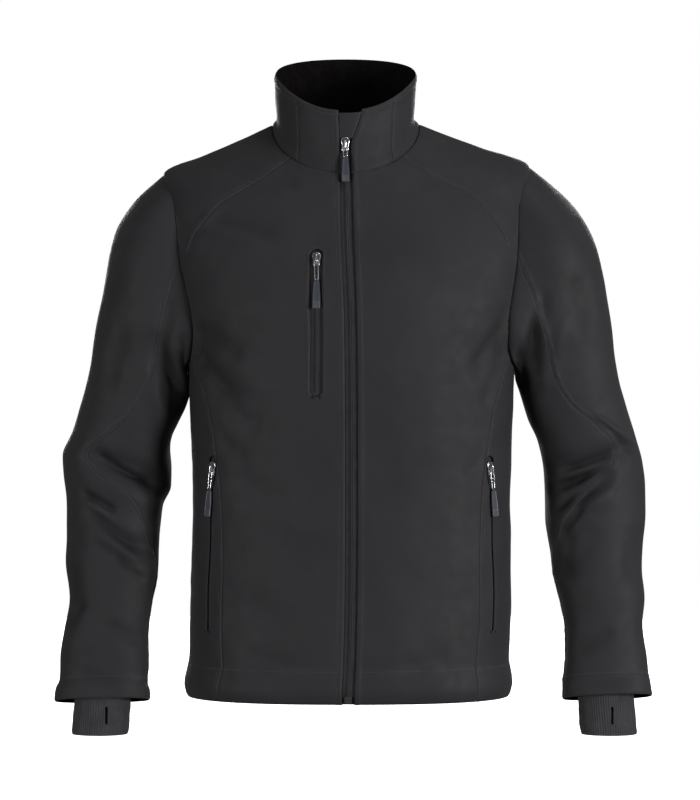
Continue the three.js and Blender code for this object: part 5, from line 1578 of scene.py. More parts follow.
class Pattern:
    """The seams of the trunk on the wearer's left half, and the patches between them."""

    def __init__(self) -> None:
        """Draws the seams."""
        self.neck = float(on_body(YOKE_SEAM[:1])[0, 0])
        self.nape = 180 - 0.8 * self.neck
        yoke_front = [[[self.neck, NECK]], on_body(YOKE_SEAM[1:]), arm_point(YOKE_END_FRONT)]
        yoke_back = [[[self.nape, NECK]], on_body(YOKE_SEAM[1:], True), arm_point(YOKE_END_BACK)]
        side_front = [on_body(SIDE_SEAM)[::-1], arm_point(SIDE_SEAM_FRONT)]
        side_back = [on_body(SIDE_SEAM, True)[::-1], arm_point(SIDE_SEAM_BACK)]
        self.yoke_front = smooth_line(np.concatenate(yoke_front))
        self.yoke_back = smooth_line(np.concatenate(yoke_back))
        self.side_front = smooth_line(np.concatenate(side_front))
        self.side_back = smooth_line(np.concatenate(side_back))
        ups = np.linspace(0, NECK, 145)
        self.zip_edge = Line(np.stack([bearing_at_width(BODY_TABLE, ZIP_OPENING / 2, ups), ups], axis=-1))
        self.neck_front = level_line(self.zip_edge.points[-1, 0], self.neck, NECK)
        self.neck_back = level_line(self.nape, 360 - self.nape, NECK)

    def front(self) -> Callable:
        """The front panel, from the zip to the side seam."""
        end = join((self.side_front, SIDE_STEPS), (armhole_line(SIDE_SEAM_FRONT, YOKE_END_FRONT), ARM_STEPS))
        return coons(
            low=level_line(self.zip_edge.points[0, 0], self.side_front.points[0, 0], 0),
            high=join((self.neck_front, NECK_FRONT_STEPS), (self.yoke_front, YOKE_STEPS)),
            start=self.zip_edge, end=end)

    def yoke(self) -> Callable:
        """The yoke over the shoulder, from the armhole to the neck."""
        return coons(
            low=armhole_line(YOKE_END_FRONT, YOKE_END_BACK), high=level_line(self.neck, self.nape, NECK),
            start=self.yoke_front.reversed(), end=self.yoke_back.reversed())

    def side(self) -> Callable:
        """The side panel, from the front seam to the back seam."""
        return coons(
            low=level_line(self.side_front.points[0, 0], self.side_back.points[0, 0], 0),
            high=armhole_line(SIDE_SEAM_FRONT, SIDE_SEAM_BACK), start=self.side_front, end=self.side_back)

    def back(self) -> Callable:
        """The back panel."""
        arm = armhole_line(SIDE_SEAM_BACK, 360 + YOKE_END_BACK)
        edge = join((self.side_back, SIDE_STEPS), (arm, ARM_STEPS))
        low = self.side_back.points[0, 0]
        return coons(
            low=level_line(low, 360 - low, 0),
            high=join(
                (self.yoke_back.reversed(), YOKE_STEPS), (self.neck_back, NECK_BACK_STEPS),
                (self.yoke_back.around(), YOKE_STEPS)),
            start=edge, end=edge.around())

    def collar_seam(self) -> float:
        """Bearing of the seam between the collar's front and back pieces."""
        return mix(self.zip_edge.points[-1, 0], self.neck, COLLAR_SEAM_STEP / NECK_FRONT_STEPS)

    def collar_front(self, hand: str) -> Callable:
        """A front piece of the collar, whose zip edge parts above the slider."""
        seam = self.collar_seam()

        def at(s: Array, t: Array) -> Array:
            s, t = np.broadcast_arrays(s, t)
            edge = bearing_at_width(COLLAR_TABLE, open_width(hand, t), t)
            return np.stack([mix(edge, seam, s), t], axis=-1)

        return at

    def collar_back(self) -> Callable:
        """The back piece of the collar, round the neck from one front seam to the other."""
        seam = self.collar_seam()

        def at(s: Array, t: Array) -> Array:
            s, t = np.broadcast_arrays(s, t)
            return np.stack([mix(seam, 360 - seam, s), t], axis=-1)

        return at


def open_width(hand: str, up: Array) -> Array:
    """Distance of the collar's zip edge from the centre line."""
    return mix(ZIP_OPENING / 2, OPEN_EDGE[hand], fade((up - OPEN_FROM) / (1.05 - OPEN_FROM)) ** 0.8)


def sleeve_patch(hand: str, inner: bool) -> Callable:
    """The outer or the inner panel of a sleeve; the outer one closes on itself below the inner."""
    end = SLEEVE_SEAM_END if inner else SLEEVE_RINGS[hand][-1][0]

    def at(s: Array, t: Array) -> Array:
        s, t = np.broadcast_arrays(s, t)
        along = t * end
        seam = SLEEVE_SEAM_TABLE.at(np.minimum(along, SLEEVE_SEAM_END))["round"]
        seam = np.minimum(seam + np.maximum(along - SLEEVE_SEAM_END, 0) / 10, 180)
        across = mix(360 - seam, seam, s) if inner else mix(seam, -seam, s)
        return np.stack([across, along], axis=-1)

    return at


def for_hand(hand: str, patch: Callable, edges: dict[str, tuple[Part, ...]]) -> tuple[Callable, dict]:
    """A patch and its edges, mirrored for the wearer's right half."""
    if hand == "left":
        return patch, edges

    def mirrored(s: Array, t: Array) -> Array:
        return patch(1 - np.asarray(s), t) * FLIP

    return mirrored, {**edges, "start": edges["end"], "end": edges["start"]}


def trunk_pieces(pattern: Pattern) -> list[ClothPiece]:
    """The cloth pieces of the trunk and the collar."""
    corner = SIDE_STEPS / (SIDE_STEPS + ARM_STEPS)
    neck_share = NECK_FRONT_STEPS / (NECK_FRONT_STEPS + YOKE_STEPS)
    side_then_arm = (Part(Edge.UNDER, 0, corner), Part(Edge.SINGLE, corner, 1))
    pieces = []
    for seed, hand in enumerate(HANDS):
        patch, edges = for_hand(hand, pattern.front(), {
            "low": HEM, "high": UNDER, "start": ZIP, "end": side_then_arm})
        chest = Opening(CHEST_ZIP, CHEST_ZIP_OPENING, "right", CHEST_BEHIND) if hand == "right" else None
        knots = () if hand == "right" else (neck_share,)
        pieces.append(ClothPiece(
            f"front_{hand}", BODY, patch, edges, knots, (corner,), opening=chest, seed=11 + seed))
        patch, edges = for_hand(hand, pattern.side(), {
            "low": HEM, "high": SINGLE, "start": DOUBLE, "end": DOUBLE})
        pocket = Opening(HAND_ZIP, HAND_ZIP_OPENING, hand, HAND_BEHIND, HAND_ZIP_CLOSED)
        pieces.append(ClothPiece(f"side_{hand}", BODY, patch, edges, opening=pocket, seed=21 + seed))
        patch, edges = for_hand(hand, pattern.yoke(), {
            "low": SINGLE, "high": UNDER, "start": DOUBLE, "end": DOUBLE})
        pieces.append(ClothPiece(f"yoke_{hand}", BODY, patch, edges, seed=31 + seed))
    across = 2 * YOKE_STEPS + NECK_BACK_STEPS
    knots = (YOKE_STEPS / across, (YOKE_STEPS + NECK_BACK_STEPS) / across)
    pieces.append(ClothPiece("back", BODY, pattern.back(), {
        "low": HEM, "high": UNDER, "start": side_then_arm, "end": side_then_arm,
    }, knots, (corner,), step=4.6, seed=41))
    collar = {"low": (Part(Edge.NECK),), "high": (Part(Edge.TOP),)}
    for seed, hand in enumerate(HANDS):
        patch, edges = for_hand(hand, pattern.collar_front(hand), {
            **collar, "start": ZIP, "end": UNDER})
        pieces.append(ClothPiece(
            f"collar_{hand}", COLLAR, patch, edges, wall=COLLAR_WALL, step=3.2, creases="", seed=51 + seed))
    pieces.append(ClothPiece("collar_back", COLLAR, pattern.collar_back(), {
        **collar, "start": SINGLE, "end": SINGLE,
    }, wall=COLLAR_WALL, step=3.6, creases="", seed=53))
    return pieces


def sleeve_pieces() -> list[ClothPiece]:
    """The cloth pieces of both sleeves."""
    pieces = []
    for seed, (hand, sleeve) in enumerate(SLEEVES.items()):
        joined = SLEEVE_SEAM_END / SLEEVE_RINGS[hand][-1][0]
        pieces.append(ClothPiece(f"sleeve_outer_{hand}", sleeve, sleeve_patch(hand, False), {
            "low": UNDER, "high": (Part(Edge.CUFF),), "start": DOUBLE,
            "end": (Part(Edge.DOUBLE, 0, joined), Part(Edge.UNDER, joined, 1)),
        }, creases=hand, seed=61 + seed))
        pieces.append(ClothPiece(f"sleeve_inner_{hand}", sleeve, sleeve_patch(hand, True), {
            "low": UNDER, "high": UNDER, "start": UNDER, "end": UNDER,
        }, creases=hand, seed=71 + seed))
    return pieces


def sew_together(pieces: Sequence[ClothPiece]) -> None:
    """Lays out the pieces and mitres the normals where they are sewn together."""
    for piece in pieces:
        piece.lay_out()
    points, normals, owners = [], [], []
    for number, piece in enumerate(pieces):
        for edge_points, edge_normals in piece.border():
            points.append(edge_points)
            normals.append(edge_normals)
            owners.append(np.full(len(edge_points), number))
    points, normals, owners = (np.concatenate(rows) for rows in (points, normals, owners))
    tree = KDTree(len(points))
    for i, point in enumerate(points):
        tree.insert(point, i)
    tree.balance()
    for number, piece in enumerate(pieces):
        piece.share_normals(tree, normals, owners, number)


# Zips


FRONT_COLLAR_RUN = 80.0
TAPE_TOP = 0.96
NECK_BLEND = 44
TAPE_WALL = 1.0
TAPE_REACH = 16.0
CHAIN_MARGIN = 6.0


def beside_front_zip(station: Array, lateral: Array, hand: str) -> Pair:
    """Points and normals beside the front zip.

    Args:
        station: height along the trunk, then on past the neck seam in collar steps.
        lateral: distance from the zip's own centre towards the wearer's hand.
        hand: which half it belongs to.

    Returns:
        Points on the cloth's outer surface and their normals.
    """
    station, lateral = np.broadcast_arrays(np.asarray(station, float), np.asarray(lateral, float))
    sign = SIGN[hand]
    trunk_up = np.minimum(station, NECK)
    collar_up = np.maximum(station - NECK, 0) / FRONT_COLLAR_RUN
    x = sign * (lateral + open_width(hand, collar_up) - ZIP_OPENING / 2)
    low, high = bearing_at_width(BODY_TABLE, x, trunk_up), bearing_at_width(COLLAR_TABLE, x, collar_up)
    above = (station > NECK)[..., None]
    point = np.where(above, COLLAR.place(high, collar_up), BODY.place(low, trunk_up))
    turned = fade((station - NECK + NECK_BLEND / 2) / NECK_BLEND)[..., None]
    normal = unit(mix(BODY.normal(low, trunk_up), COLLAR.normal(high, collar_up), turned))
    sunk = COLLAR_SUNK * np.clip((station - NECK + NECK_BLEND) / NECK_BLEND, 0, 1)[..., None]
    return point - normal * sunk, normal


def even_stations(place: Callable, low: float, high: float, pitch: float) -> Array:
    """Stations along a line that are a pitch apart in real length."""
    rough = np.linspace(low, high, 600)
    run = run_along(place(rough, 0 * rough)[0])
    return np.interp(np.arange(0, run[-1], pitch), run, rough)


def strip(name: str, place: Callable, stations: Array, laterals: Array, depth: float,
          wall: float, finish: Finish, node: str, woven: bool = True) -> Piece:
    """A thin closed strip under the cloth's surface.

    Args:
        name: name of the piece.
        place: gives points and normals for stations and laterals.
        stations: places along the strip.
        laterals: distances across it, or a row of them for each station.
        depth: how deep its outer face lies.
        wall: its thickness.
        finish: its finish.
        node: the solid it stands for.
        woven: whether it is a sheet of cloth.

    Returns:
        The declared piece.
    """
    across = np.broadcast_to(laterals, (len(stations), np.shape(laterals)[-1]))
    points, normals = place(stations[:, None], across)
    widths, lengths = grid_runs(points)
    flat = np.stack([widths, lengths], axis=-1)
    piece = shell(name, points - normals * depth, points - normals * (depth + wall), finish, flat=flat)
    declare(piece, node)
    if woven:
        state_sheet(widths, lengths, float(cell_areas(points).sum()))
    return piece


# A tooth's root, waist and head, by their distance from the zip's middle
TOOTH = (2.6, 1.0, -0.5)
TOOTH_CORNERS = 6


class Teeth:
    """Coil teeth of a zip, interlocking where it is closed."""

    pitch = 1.5
    profile = ((0.36, 0.60), (0.36, 0.66), (0.44, 0.62))

    def __init__(self, name: str) -> None:
        """Starts with no teeth."""
        self.name = name
        self.points: list[Array] = []
        self.faces: list[list[int]] = []

    def add(self, place: Callable, stations: Array, roots: tuple[float, ...], depth: float) -> None:
        """Adds a tooth at each station, from its root to its head."""
        points, normals = place(stations[:, None], np.array(roots))
        above = place(stations + 0.5, 0 * stations)[0]
        below = place(stations - 0.5, 0 * stations)[0]
        along = unit(above - below)[:, None, None]
        points = (points - normals * depth)[:, :, None]
        normals = normals[:, :, None]
        turn = np.radians(np.arange(TOOTH_CORNERS) * 60 + 30)
        wide = np.array([p[0] for p in self.profile])[:, None] * np.cos(turn)
        high = np.array([p[1] for p in self.profile])[:, None] * np.sin(turn)
        ring = points + along * wide[None, ..., None] + normals * high[None, ..., None]
        base = sum(len(p) for p in self.points)
        self.points.append(ring.reshape(-1, 3))
        tooth = tube_faces(len(self.profile), TOOTH_CORNERS)
        for first in base + len(self.profile) * TOOTH_CORNERS * np.arange(len(stations)):
            self.faces += [[int(first) + k for k in face] for face in tooth]

    def interlock(self, place: Callable, stations: Array, depth: float) -> None:
        """Adds teeth by turns from one side and from the other."""
        self.add(place, stations[::2], TOOTH, depth)
        self.add(place, stations[1::2], tuple(-k for k in TOOTH), depth)

    def build(self, node: str) -> Piece:
        """Makes the teeth as one mesh."""
        return declare(make_mesh(self.name, np.concatenate(self.points), self.faces, COIL), node)


def build_front_zip() -> None:
    """Builds the tapes, the closed chain, the open teeth and the foot box of the front zip."""
    top = NECK + TAPE_TOP * FRONT_COLLAR_RUN
    tooth_depth = CHAIN_DEPTH + CHAIN_WALL / 2
    for hand in HANDS:
        place = partial(beside_front_zip, hand=hand)
        stations = even_stations(place, 0, top, 3.0)
        across = np.linspace(0.25, TAPE_REACH, 9)
        strip(f"zip_tape_{hand}_woven", place, stations, across, TAPE_DEPTH, TAPE_WALL, TAPE,
              f"zip_tape_{hand}")
        teeth = Teeth(f"zip_teeth_{hand}_coil")
        low = NECK + (SLIDER_UP + 0.09) * FRONT_COLLAR_RUN
        teeth.add(place, even_stations(place, low, top, Teeth.pitch), TOOTH, tooth_depth)
        teeth.build(f"zip_teeth_{hand}")
    closed = partial(beside_front_zip, hand="left")
    chain = Teeth("zip_chain_coil")
    stations = even_stations(closed, 3, NECK + SLIDER_UP * FRONT_COLLAR_RUN, Teeth.pitch / 2)
    chain.interlock(closed, stations, tooth_depth)
    chain.build("zip_chain")
    strip("zip_foot_box", closed, np.linspace(1.2, 9.4, 8), np.linspace(-4.4, 4.4, 9), CHAIN_DEPTH - 0.7,
          CHAIN_WALL + 0.9, COIL, "", woven=False)
    LOG.info("front zip: %d closed teeth", len(stations))


# Bartacks: from and to beside the slot's foot, by share of its half width, and the rows of each
TACK_ENDS = (-3.6, 0.9)
TACK_SIDES = (-0.58, 0.58)
TACK_ROWS = (-0.8, -0.27, 0.27, 0.8)
TACK_LIFT = 0.45


@dataclass
class PocketZip:
    """Tape and chain of a pocket zip."""

    name: str
    opening: Opening

    def build(self) -> float:
        """Builds both and returns the depth of the chain."""
        run = self.opening.run
        depth = WALL + self.opening.behind
        chain_depth = depth - 0.3 - CHAIN_WALL
        reach = self.opening.width / 2 + TAPE_OVERLAP
        stations = np.linspace(0, run[-1], 64)
        across = np.linspace(-reach, reach, 13)
        strip(f"{self.name}_tape_woven", self.opening.place, stations, across, depth, TAPE_WALL, TAPE,
              f"{self.name}_tape")
        teeth = Teeth(f"{self.name}_chain_coil")
        spots = np.arange(CHAIN_MARGIN, run[-1] - CHAIN_MARGIN, Teeth.pitch / 2)
        teeth.interlock(self.opening.place, spots, chain_depth + CHAIN_WALL / 2)
        teeth.build(f"{self.name}_chain")
        self.build_bartacks()
        return chain_depth

    def build_bartacks(self) -> None:
        """Two short bars of dense stitches at the foot of the slot."""
        opening = self.opening
        up = opening.low_up + np.linspace(*TACK_ENDS, 8)
        tacks = Bartacks(f"{self.name}_bartacks")
        for middle in TACK_SIDES:
            for beside in TACK_ROWS:
                lateral = middle * opening.width / 2 + beside
                bearing = opening.middle(up) + lateral / opening.per_degree(up)
                tacks.add_row(BODY.place(bearing, up), BODY.normal(bearing, up), TACK_LIFT)
        tacks.build(finish=BARTACK_THREAD)


@dataclass
class ChinGuard:
    """The flap behind the top of the zip, folded over its open teeth in front."""

    low: float = 0.3
    high: float = 0.96
    from_x: float = -13.0
    to_x: float = 27.0
    wall: float = 1.6
    depth: float = TAPE_DEPTH + COLLAR_SUNK + 1.45
    cover_low: float = 0.56
    cover_wall: float = 1.1
    cover_depth: float = 0.75
    binding_wide: float = 2.6

    def build(self) -> None:
        """Builds the flap, its front cover and the binding on the cover's free edge."""

        def place(up: Array, x: Array) -> Pair:
            up, x = np.broadcast_arrays(up, x)
            bearing = bearing_at_width(COLLAR_TABLE, x, up)
            return COLLAR.place(bearing, up), COLLAR.normal(bearing, up)

        ups = np.linspace(self.low, self.high, 40)
        across = np.linspace(self.from_x, self.to_x, 18)
        strip("chin_guard_flap", place, ups, across, self.depth, self.wall, CLOTH, "chin_guard")
        ups = np.linspace(self.cover_low, self.high, 40)
        left = 0.5 - open_width("right", ups)[:, None]
        right = open_width("left", ups)[:, None] - 0.6
        free = right - self.binding_wide
        across = left + (free - left) * np.linspace(0, 1, 16)
        strip("chin_guard_cover", place, ups, across, self.cover_depth, self.cover_wall, CLOTH, "")
        share = np.linspace(0, 1, 9)
        crown = (0.55 * np.sqrt(1 - (2 * share - 1) ** 2))[:, None]
        points, normals = place(ups[:, None], free + (right - free) * share)
        outer = points - normals * (self.cover_depth - 0.1 - crown)
        inner = points - normals * (self.cover_depth + self.cover_wall)
        declare(shell("chin_guard_binding", outer, inner, BINDING))


# Knit cuffs

# Where the cuff's turned end begins, and its length, as shares of the tube
KNIT_END = 0.955
KNIT_END_LONG = 0.034


@dataclass
class KnitCuff(Surface):
    """A ribbed tube sewn inside the end of a sleeve, with a slit for the thumb."""

    hand: str
    half_width: float = 34.5
    half_depth: float = 22.0
    top_y: float = -40
    end_y: float = -48
    top_z: float = -706.0
    end_z: float = -752.0
    ribs: int = 70
    rib_steps: int = 6
    rib_depth: float = 0.9
    slit_wide: float = 3.0
    slit_tall: float = 21.0
    slit_from_end: float = 14.0

    steps = (0.5, 0.01)

    def __post_init__(self) -> None:
        """Finds where the knit is sewn on and how it hangs."""
        self.sleeve = SLEEVES[self.hand]
        self.seam_along = SLEEVE_RINGS[self.hand][CUFF_SEAM_RING][0]
        self.top_x, self.end_x = {"right": (306, 309), "left": (314.5, 317.5)}[self.hand]
        self.slit_shift = {"right": -8, "left": 4}[self.hand]
        self.turn = self.sleeve.sign

    def hanging(self, angle: Array, share: Array) -> Array:
        """Points of the part that hangs out of the sleeve."""
        turn = np.radians(angle)
        return np.stack([
            self.sleeve.sign * (mix(self.top_x, self.end_x, share) + self.half_width * np.cos(turn)),
            mix(self.top_y, self.end_y, share) - self.half_depth * np.sin(turn),
            mix(self.top_z, self.end_z, share) + 0 * turn,
        ], axis=-1)

    def place(self, u: Array, v: Array) -> Array:
        """Points of the tube without ribs."""
        u, v = np.broadcast_arrays(u, v)
        along = np.full_like(v, self.seam_along)
        start = self.sleeve.place(u, along) - self.sleeve.normal(u, along) * (WALL + 0.3)
        upper = mix(start, self.hanging(u, 0 * v), fade(v * 2)[..., None])
        return np.where((v < 0.5)[..., None], upper, self.hanging(u, np.maximum(v - 0.5, 0) * 2))

    def build(self) -> None:
        """Builds the ribbed tube."""
        count = self.ribs * self.rib_steps
        angles = np.linspace(180, -180, count + 1)[None, :]
        downs = [np.linspace(0.011, 0.5, 12), np.linspace(0.52, 0.95, 20), [0.965, 0.98, 0.989]]
        downs = np.concatenate(downs)[:, None]
        base, normals = self.place(angles, downs), self.normal(angles, downs)
        phase = np.arange(count + 1) / self.rib_steps * 2 * math.pi
        ribs = self.rib_depth * (0.5 + 0.5 * np.cos(phase)) ** 0.7
        settled = 0.5 * waves(base, 22, 5)
        ends = np.where(downs > KNIT_END, (downs - KNIT_END) / KNIT_END_LONG, 0)
        lift = ribs * (1 - 0.5 * ends) - 0.45 + settled - 0.5 * ends
        outer = base + normals * lift[..., None]
        inner = base + normals * (settled - KNIT_WALL + 0.3 * ends)[..., None]
        outer[:, -1], inner[:, -1] = outer[:, 0], inner[:, 0]
        middle = (base[:-1, :-1] + base[1:, 1:]) / 2
        slit_x = self.sleeve.sign * (mix(self.top_x, self.end_x, 0.5) + self.slit_shift)
        slit_low = self.end_z + self.slit_from_end
        inside = (np.abs(middle[..., 0] - slit_x) < self.slit_wide / 2) & (middle[..., 1] < self.end_y)
        inside &= (middle[..., 2] > slit_low) & (middle[..., 2] < slit_low + self.slit_tall)
        across, down = run_along(base[10]), run_along(base[:, count // 4])
        flat = np.stack(np.broadcast_arrays(across[None], down[:, None]), axis=-1)
        piece = shell(f"knit_cuff_{self.hand}_ribbed", outer, inner, KNIT, ~inside, flat)
        remove_loose(piece.data)
        declare(piece, f"knit_cuff_{self.hand}")


# Sliders and pulls

Shape = tuple[Array, list[list[int]]]
ACROSS = np.array([1.0, 0, 0])

@dataclass
class Seat:
    """A place on the cloth with its directions: out of it and up along the zip."""

    point: Array
    out: Array
    up: Array

    def across(self) -> Array:
        """The direction across the zip."""
        return unit(np.cross(self.up, self.out))


def frame_matrix(x: Array, y: Array, z: Array, origin: Array) -> Matrix:
    """A matrix from three directions and an origin in millimetres."""
    rows = np.eye(4)
    rows[:3, 0], rows[:3, 1], rows[:3, 2], rows[:3, 3] = x, y, z, origin * MM
    return Matrix(rows.tolist())


def above_cloth(u: float, v: float, height: float) -> Array:
    """A point at a height over the trunk's cloth."""
    point, out = BODY.at(u, v)
    return point + out * height


def sweep(path: Array, side: Array, wide: float, thick: float, power: float,
          count: int = 10, closed: bool = False) -> Shape:
    """A bar along a path.

    Args:
        path: points of its centre line.
        side: the direction of its width, the same all along.
        wide: its width.
        thick: its thickness.
        power: 2 for a round section, more for a boxier one.
        count: corners of the section.
        closed: whether the path is a loop.

    Returns:
        Points and faces.
    """
    run = np.roll(path, -1, axis=0) - np.roll(path, 1, axis=0) if closed else np.gradient(path, axis=0)
    out = unit(np.cross(side, unit(run)))
    turn = np.linspace(0, 2 * math.pi, count, endpoint=False)
    a, b = np.cos(turn), np.sin(turn)
    reach = superellipse(a, b, power)
    across, up = (reach * a * wide / 2)[None, :, None], (reach * b * thick / 2)[None, :, None]
    ring = path[:, None] + side * across + out[:, None] * up
    return ring.reshape(-1, 3), tube_faces(len(path), count, closed)


def rounded_path(corners: Array, radius: float, steps: int, closed: bool) -> Array:
    """A path through corners, each one rounded off."""
    points = []
    count = len(corners)
    for k, corner in enumerate(corners):
        if not closed and k in (0, count - 1):
            points.append(corner)
            continue
        before, after = corners[k - 1], corners[(k + 1) % count]
        start = corner + unit(before - corner) * min(radius, np.linalg.norm(before - corner) / 2)
        end = corner + unit(after - corner) * min(radius, np.linalg.norm(after - corner) / 2)
        for t in np.linspace(0, 1, steps):
            points.append((1 - t) ** 2 * start + 2 * t * (1 - t) * corner + t**2 * end)
    return np.array(points)


def join_shapes(*shapes: Shape) -> Shape:
    """Several shapes as one set of points and faces."""
    points, faces, count = [], [], 0
    for shape_points, shape_faces in shapes:
        points.append(shape_points)
        faces += [[count + k for k in face] for face in shape_faces]
        count += len(shape_points)
    return np.concatenate(points), faces


def fix_normals(mesh: Mesh, sharp_degrees: float) -> None:
    """Turns faces outward and keeps edges sharp above an angle."""
    edit = bmesh.new()
    edit.from_mesh(mesh)
    bmesh.ops.recalc_face_normals(edit, faces=edit.faces)
    edit.to_mesh(mesh)
    edit.free()
    mesh.set_sharp_from_angle(angle=math.radians(sharp_degrees))


@dataclass(frozen=True)
class Pull:
    """Lengths of the wire link and the tab of a pull."""

    link: float
    tab: float

    def reach(self) -> float:
        """From the pivot to the tab's free end."""
        return self.link + 0.3 + self.tab


@dataclass
class Slider:
    """A slider with its bridge, and the wire link and moulded tab that hang from it."""

    name: str
    seat: Seat
    resting: Array
    base: float
    pull: Pull
    wide: float = 11.4
    narrow: float = 8.6
    tall: float = 17.0
    thick: float = 2.4
    bridge_wide: float = 2.0
    bridge_tall: float = 11.0
    bridge_high: float = 4.4
    bar: float = 1.3
    link_wide: float = 6.2
    tab_top: float = 6.8
    tab_bottom: float = 9.6
    tab_thick: float = 2.6
    grip_share: float = 0.72

    def build(self) -> None:
        """Builds the slider, the link and the tab in place."""
        across = self.seat.across()
        place = frame_matrix(across, self.seat.up, self.seat.out, self.seat.point)
        bar_up = -self.bridge_tall / 2 + self.bar + 1.2
        bar_out = self.base + self.thick - 0.2 + (self.bridge_high - self.bar + 0.3) / 2
        pivot = self.seat.point + self.seat.up * bar_up + self.seat.out * bar_out
        hang = unit(pivot - self.resting)
        hung = frame_matrix(across, hang, unit(np.cross(across, hang)), pivot)
        body = f"{self.name}_pull"
        self.add("slider", self.slider_shape(), METAL, place, "metal", JACKET, 40)
        self.add("pull_link", self.link_shape(), METAL, hung, "metal", body, 60)
        tab = self.add("pull_tab", self.tab_shape(), RUBBER, hung, "rubber", body, 50)
        tab.data.materials.append(RUBBER_TIP.material())
        grip = self.top() - self.pull.tab * self.grip_share
        for face in tab.data.polygons:
            if face.center.y < grip * MM:
                face.material_index = 1

    def add(self, part: str, shape: Shape, finish: Finish, place: Matrix,
            slot: str, body: str, sharp: float) -> Piece:
        piece = make_mesh(f"{self.name}_{part}_dressed", *shape, finish)
        fix_normals(piece.data, sharp)
        piece.matrix_world = place
        return declare(piece, f"{self.name}_{part}", body)

    def slider_shape(self) -> Shape:
        """The plate, domed and bevelled, and its bridge."""
        narrow, wide, tall = self.narrow / 2, self.wide / 2, self.tall / 2
        half = np.array([
            (0, -tall), (narrow - 1, -tall), (narrow, -tall + 1.4), (narrow, 0), (wide, tall - 4.5),
            (wide - 1, tall - 1), (wide - 3, tall), (0, tall)])
        loop = np.concatenate([half, half[-2:0:-1] * np.array([-1, 1])])
        loop = rounded_path(np.concatenate([loop, np.zeros((len(loop), 1))], axis=1), 0.9, 4, True)[:, :2]
        layers = []
        top = self.base + self.thick
        for inset, height in (
            (0.25, self.base), (0, self.base + 0.3), (0, top - 0.8), (0.2, top - 0.35), (0.65, top - 0.08),
            (1.3, top), (2.2, top + 0.12),
        ):
            shrink = 1 - inset / np.array([narrow, tall])
            layers.append(np.column_stack([loop * shrink, np.full(len(loop), height)]))
        plate = np.concatenate(layers), tube_faces(len(layers), len(loop))
        reach, foot = self.bridge_tall / 2 - self.bar / 2, top - 0.8
        high = top - 0.2 + (self.bridge_high - self.bar / 2)
        corners = np.array([(0, -reach, foot), (0, -reach, high), (0, reach, high), (0, reach, foot)])
        arch = sweep(rounded_path(corners, 2.0, 7, False), ACROSS, self.bridge_wide, self.bar, 4, 12)
        edge = np.array([(0, -tall + 1.6, top + 0.1), (0, -reach - 0.2, top + 0.25)])
        return join_shapes(plate, arch, sweep(edge, ACROSS, 3.2, 0.8, 3))

    def link_shape(self) -> Shape:
        """A closed loop of wire."""
        reach, foot = (self.link_wide - self.bar) / 2, self.bar - self.pull.link
        corners = np.array([(-reach, 0, 0), (reach, 0, 0), (reach - 0.5, foot, 0), (0.5 - reach, foot, 0)])
        loop = rounded_path(corners, 1.5, 6, True)
        return sweep(loop, np.array([0, 0, 1.0]), self.bar, self.bar, 2.4, closed=True)

    def top(self) -> float:
        """The tab's upper edge, below the link's foot."""
        return self.bar / 2 - self.pull.link - 0.3

    def tab_shape(self) -> Shape:
        """A moulded tab with a raised rim, a ribbed grip and a loop over the link's foot."""
        rows, columns = 90, 25
        down = np.sort(np.concatenate([np.linspace(0, 1, rows - len(TAB_FINE)), TAB_FINE]))
        down = down[:, None] * self.pull.tab
        half = mix(self.tab_top, self.tab_bottom, np.clip(down / (0.55 * self.pull.tab), 0, 1)) / 2
        for end, radius in ((down, 2.4), (self.pull.tab - down, 1.9)):
            gap = np.clip(1 - end / radius, 0, 1)
            half = half - radius * (1 - np.sqrt(1 - gap**2))
        turn = np.sin(np.linspace(-1, 1, columns) * math.pi / 2)
        x = half * turn
        edge = np.minimum(half - np.abs(x), np.minimum(down, self.pull.tab - down) + 0 * x)
        rounding = np.sqrt(np.clip(1 - (1 - np.clip(edge / 0.9, 0, 1)) ** 2, 0, 1))
        recess = 0.32 * fade((edge - 1.3) / 0.5)
        grip = fade((down - self.pull.tab * self.grip_share - 0.6) / 0.8)
        ridges = 0.5 + 0.5 * np.cos(2 * math.pi * down / 1.8)
        front = self.tab_thick / 2 * rounding - recess * (1 - grip * ridges)
        back = -self.tab_thick / 2 * rounding
        y = self.top() - down + 0 * x
        grid = [np.stack([x, y, z], axis=-1).reshape(-1, 3) for z in (front, back)]
        faces = wall_faces(np.ones((len(down) - 1, columns - 1), bool)).tolist()
        centre = self.bar - self.pull.link
        turns = np.linspace(0, 2 * math.pi, 20, endpoint=False)
        ring = np.column_stack([0 * turns, centre + 1.2 * np.cos(turns), 1.2 * np.sin(turns)])
        loop = sweep(ring, ACROSS, 3.4, 0.8, 3, closed=True)
        neck = sweep(np.array([(0, centre - 1.2, 0), (0, self.top() - 2.5, 0)]), ACROSS, 3.4, 1.6, 3)
        return join_shapes((np.concatenate(grid), faces), loop, neck)


PULLS = {"front": Pull(13.5, 31), "chest": Pull(25, 35), "hand": Pull(23, 33)}
TAB_LIFT = 2.6 / 2 + 2.6
TAB_FINE = (0.004, 0.01, 0.02, 0.032, 0.05, 0.95, 0.968, 0.98, 0.99, 0.996)


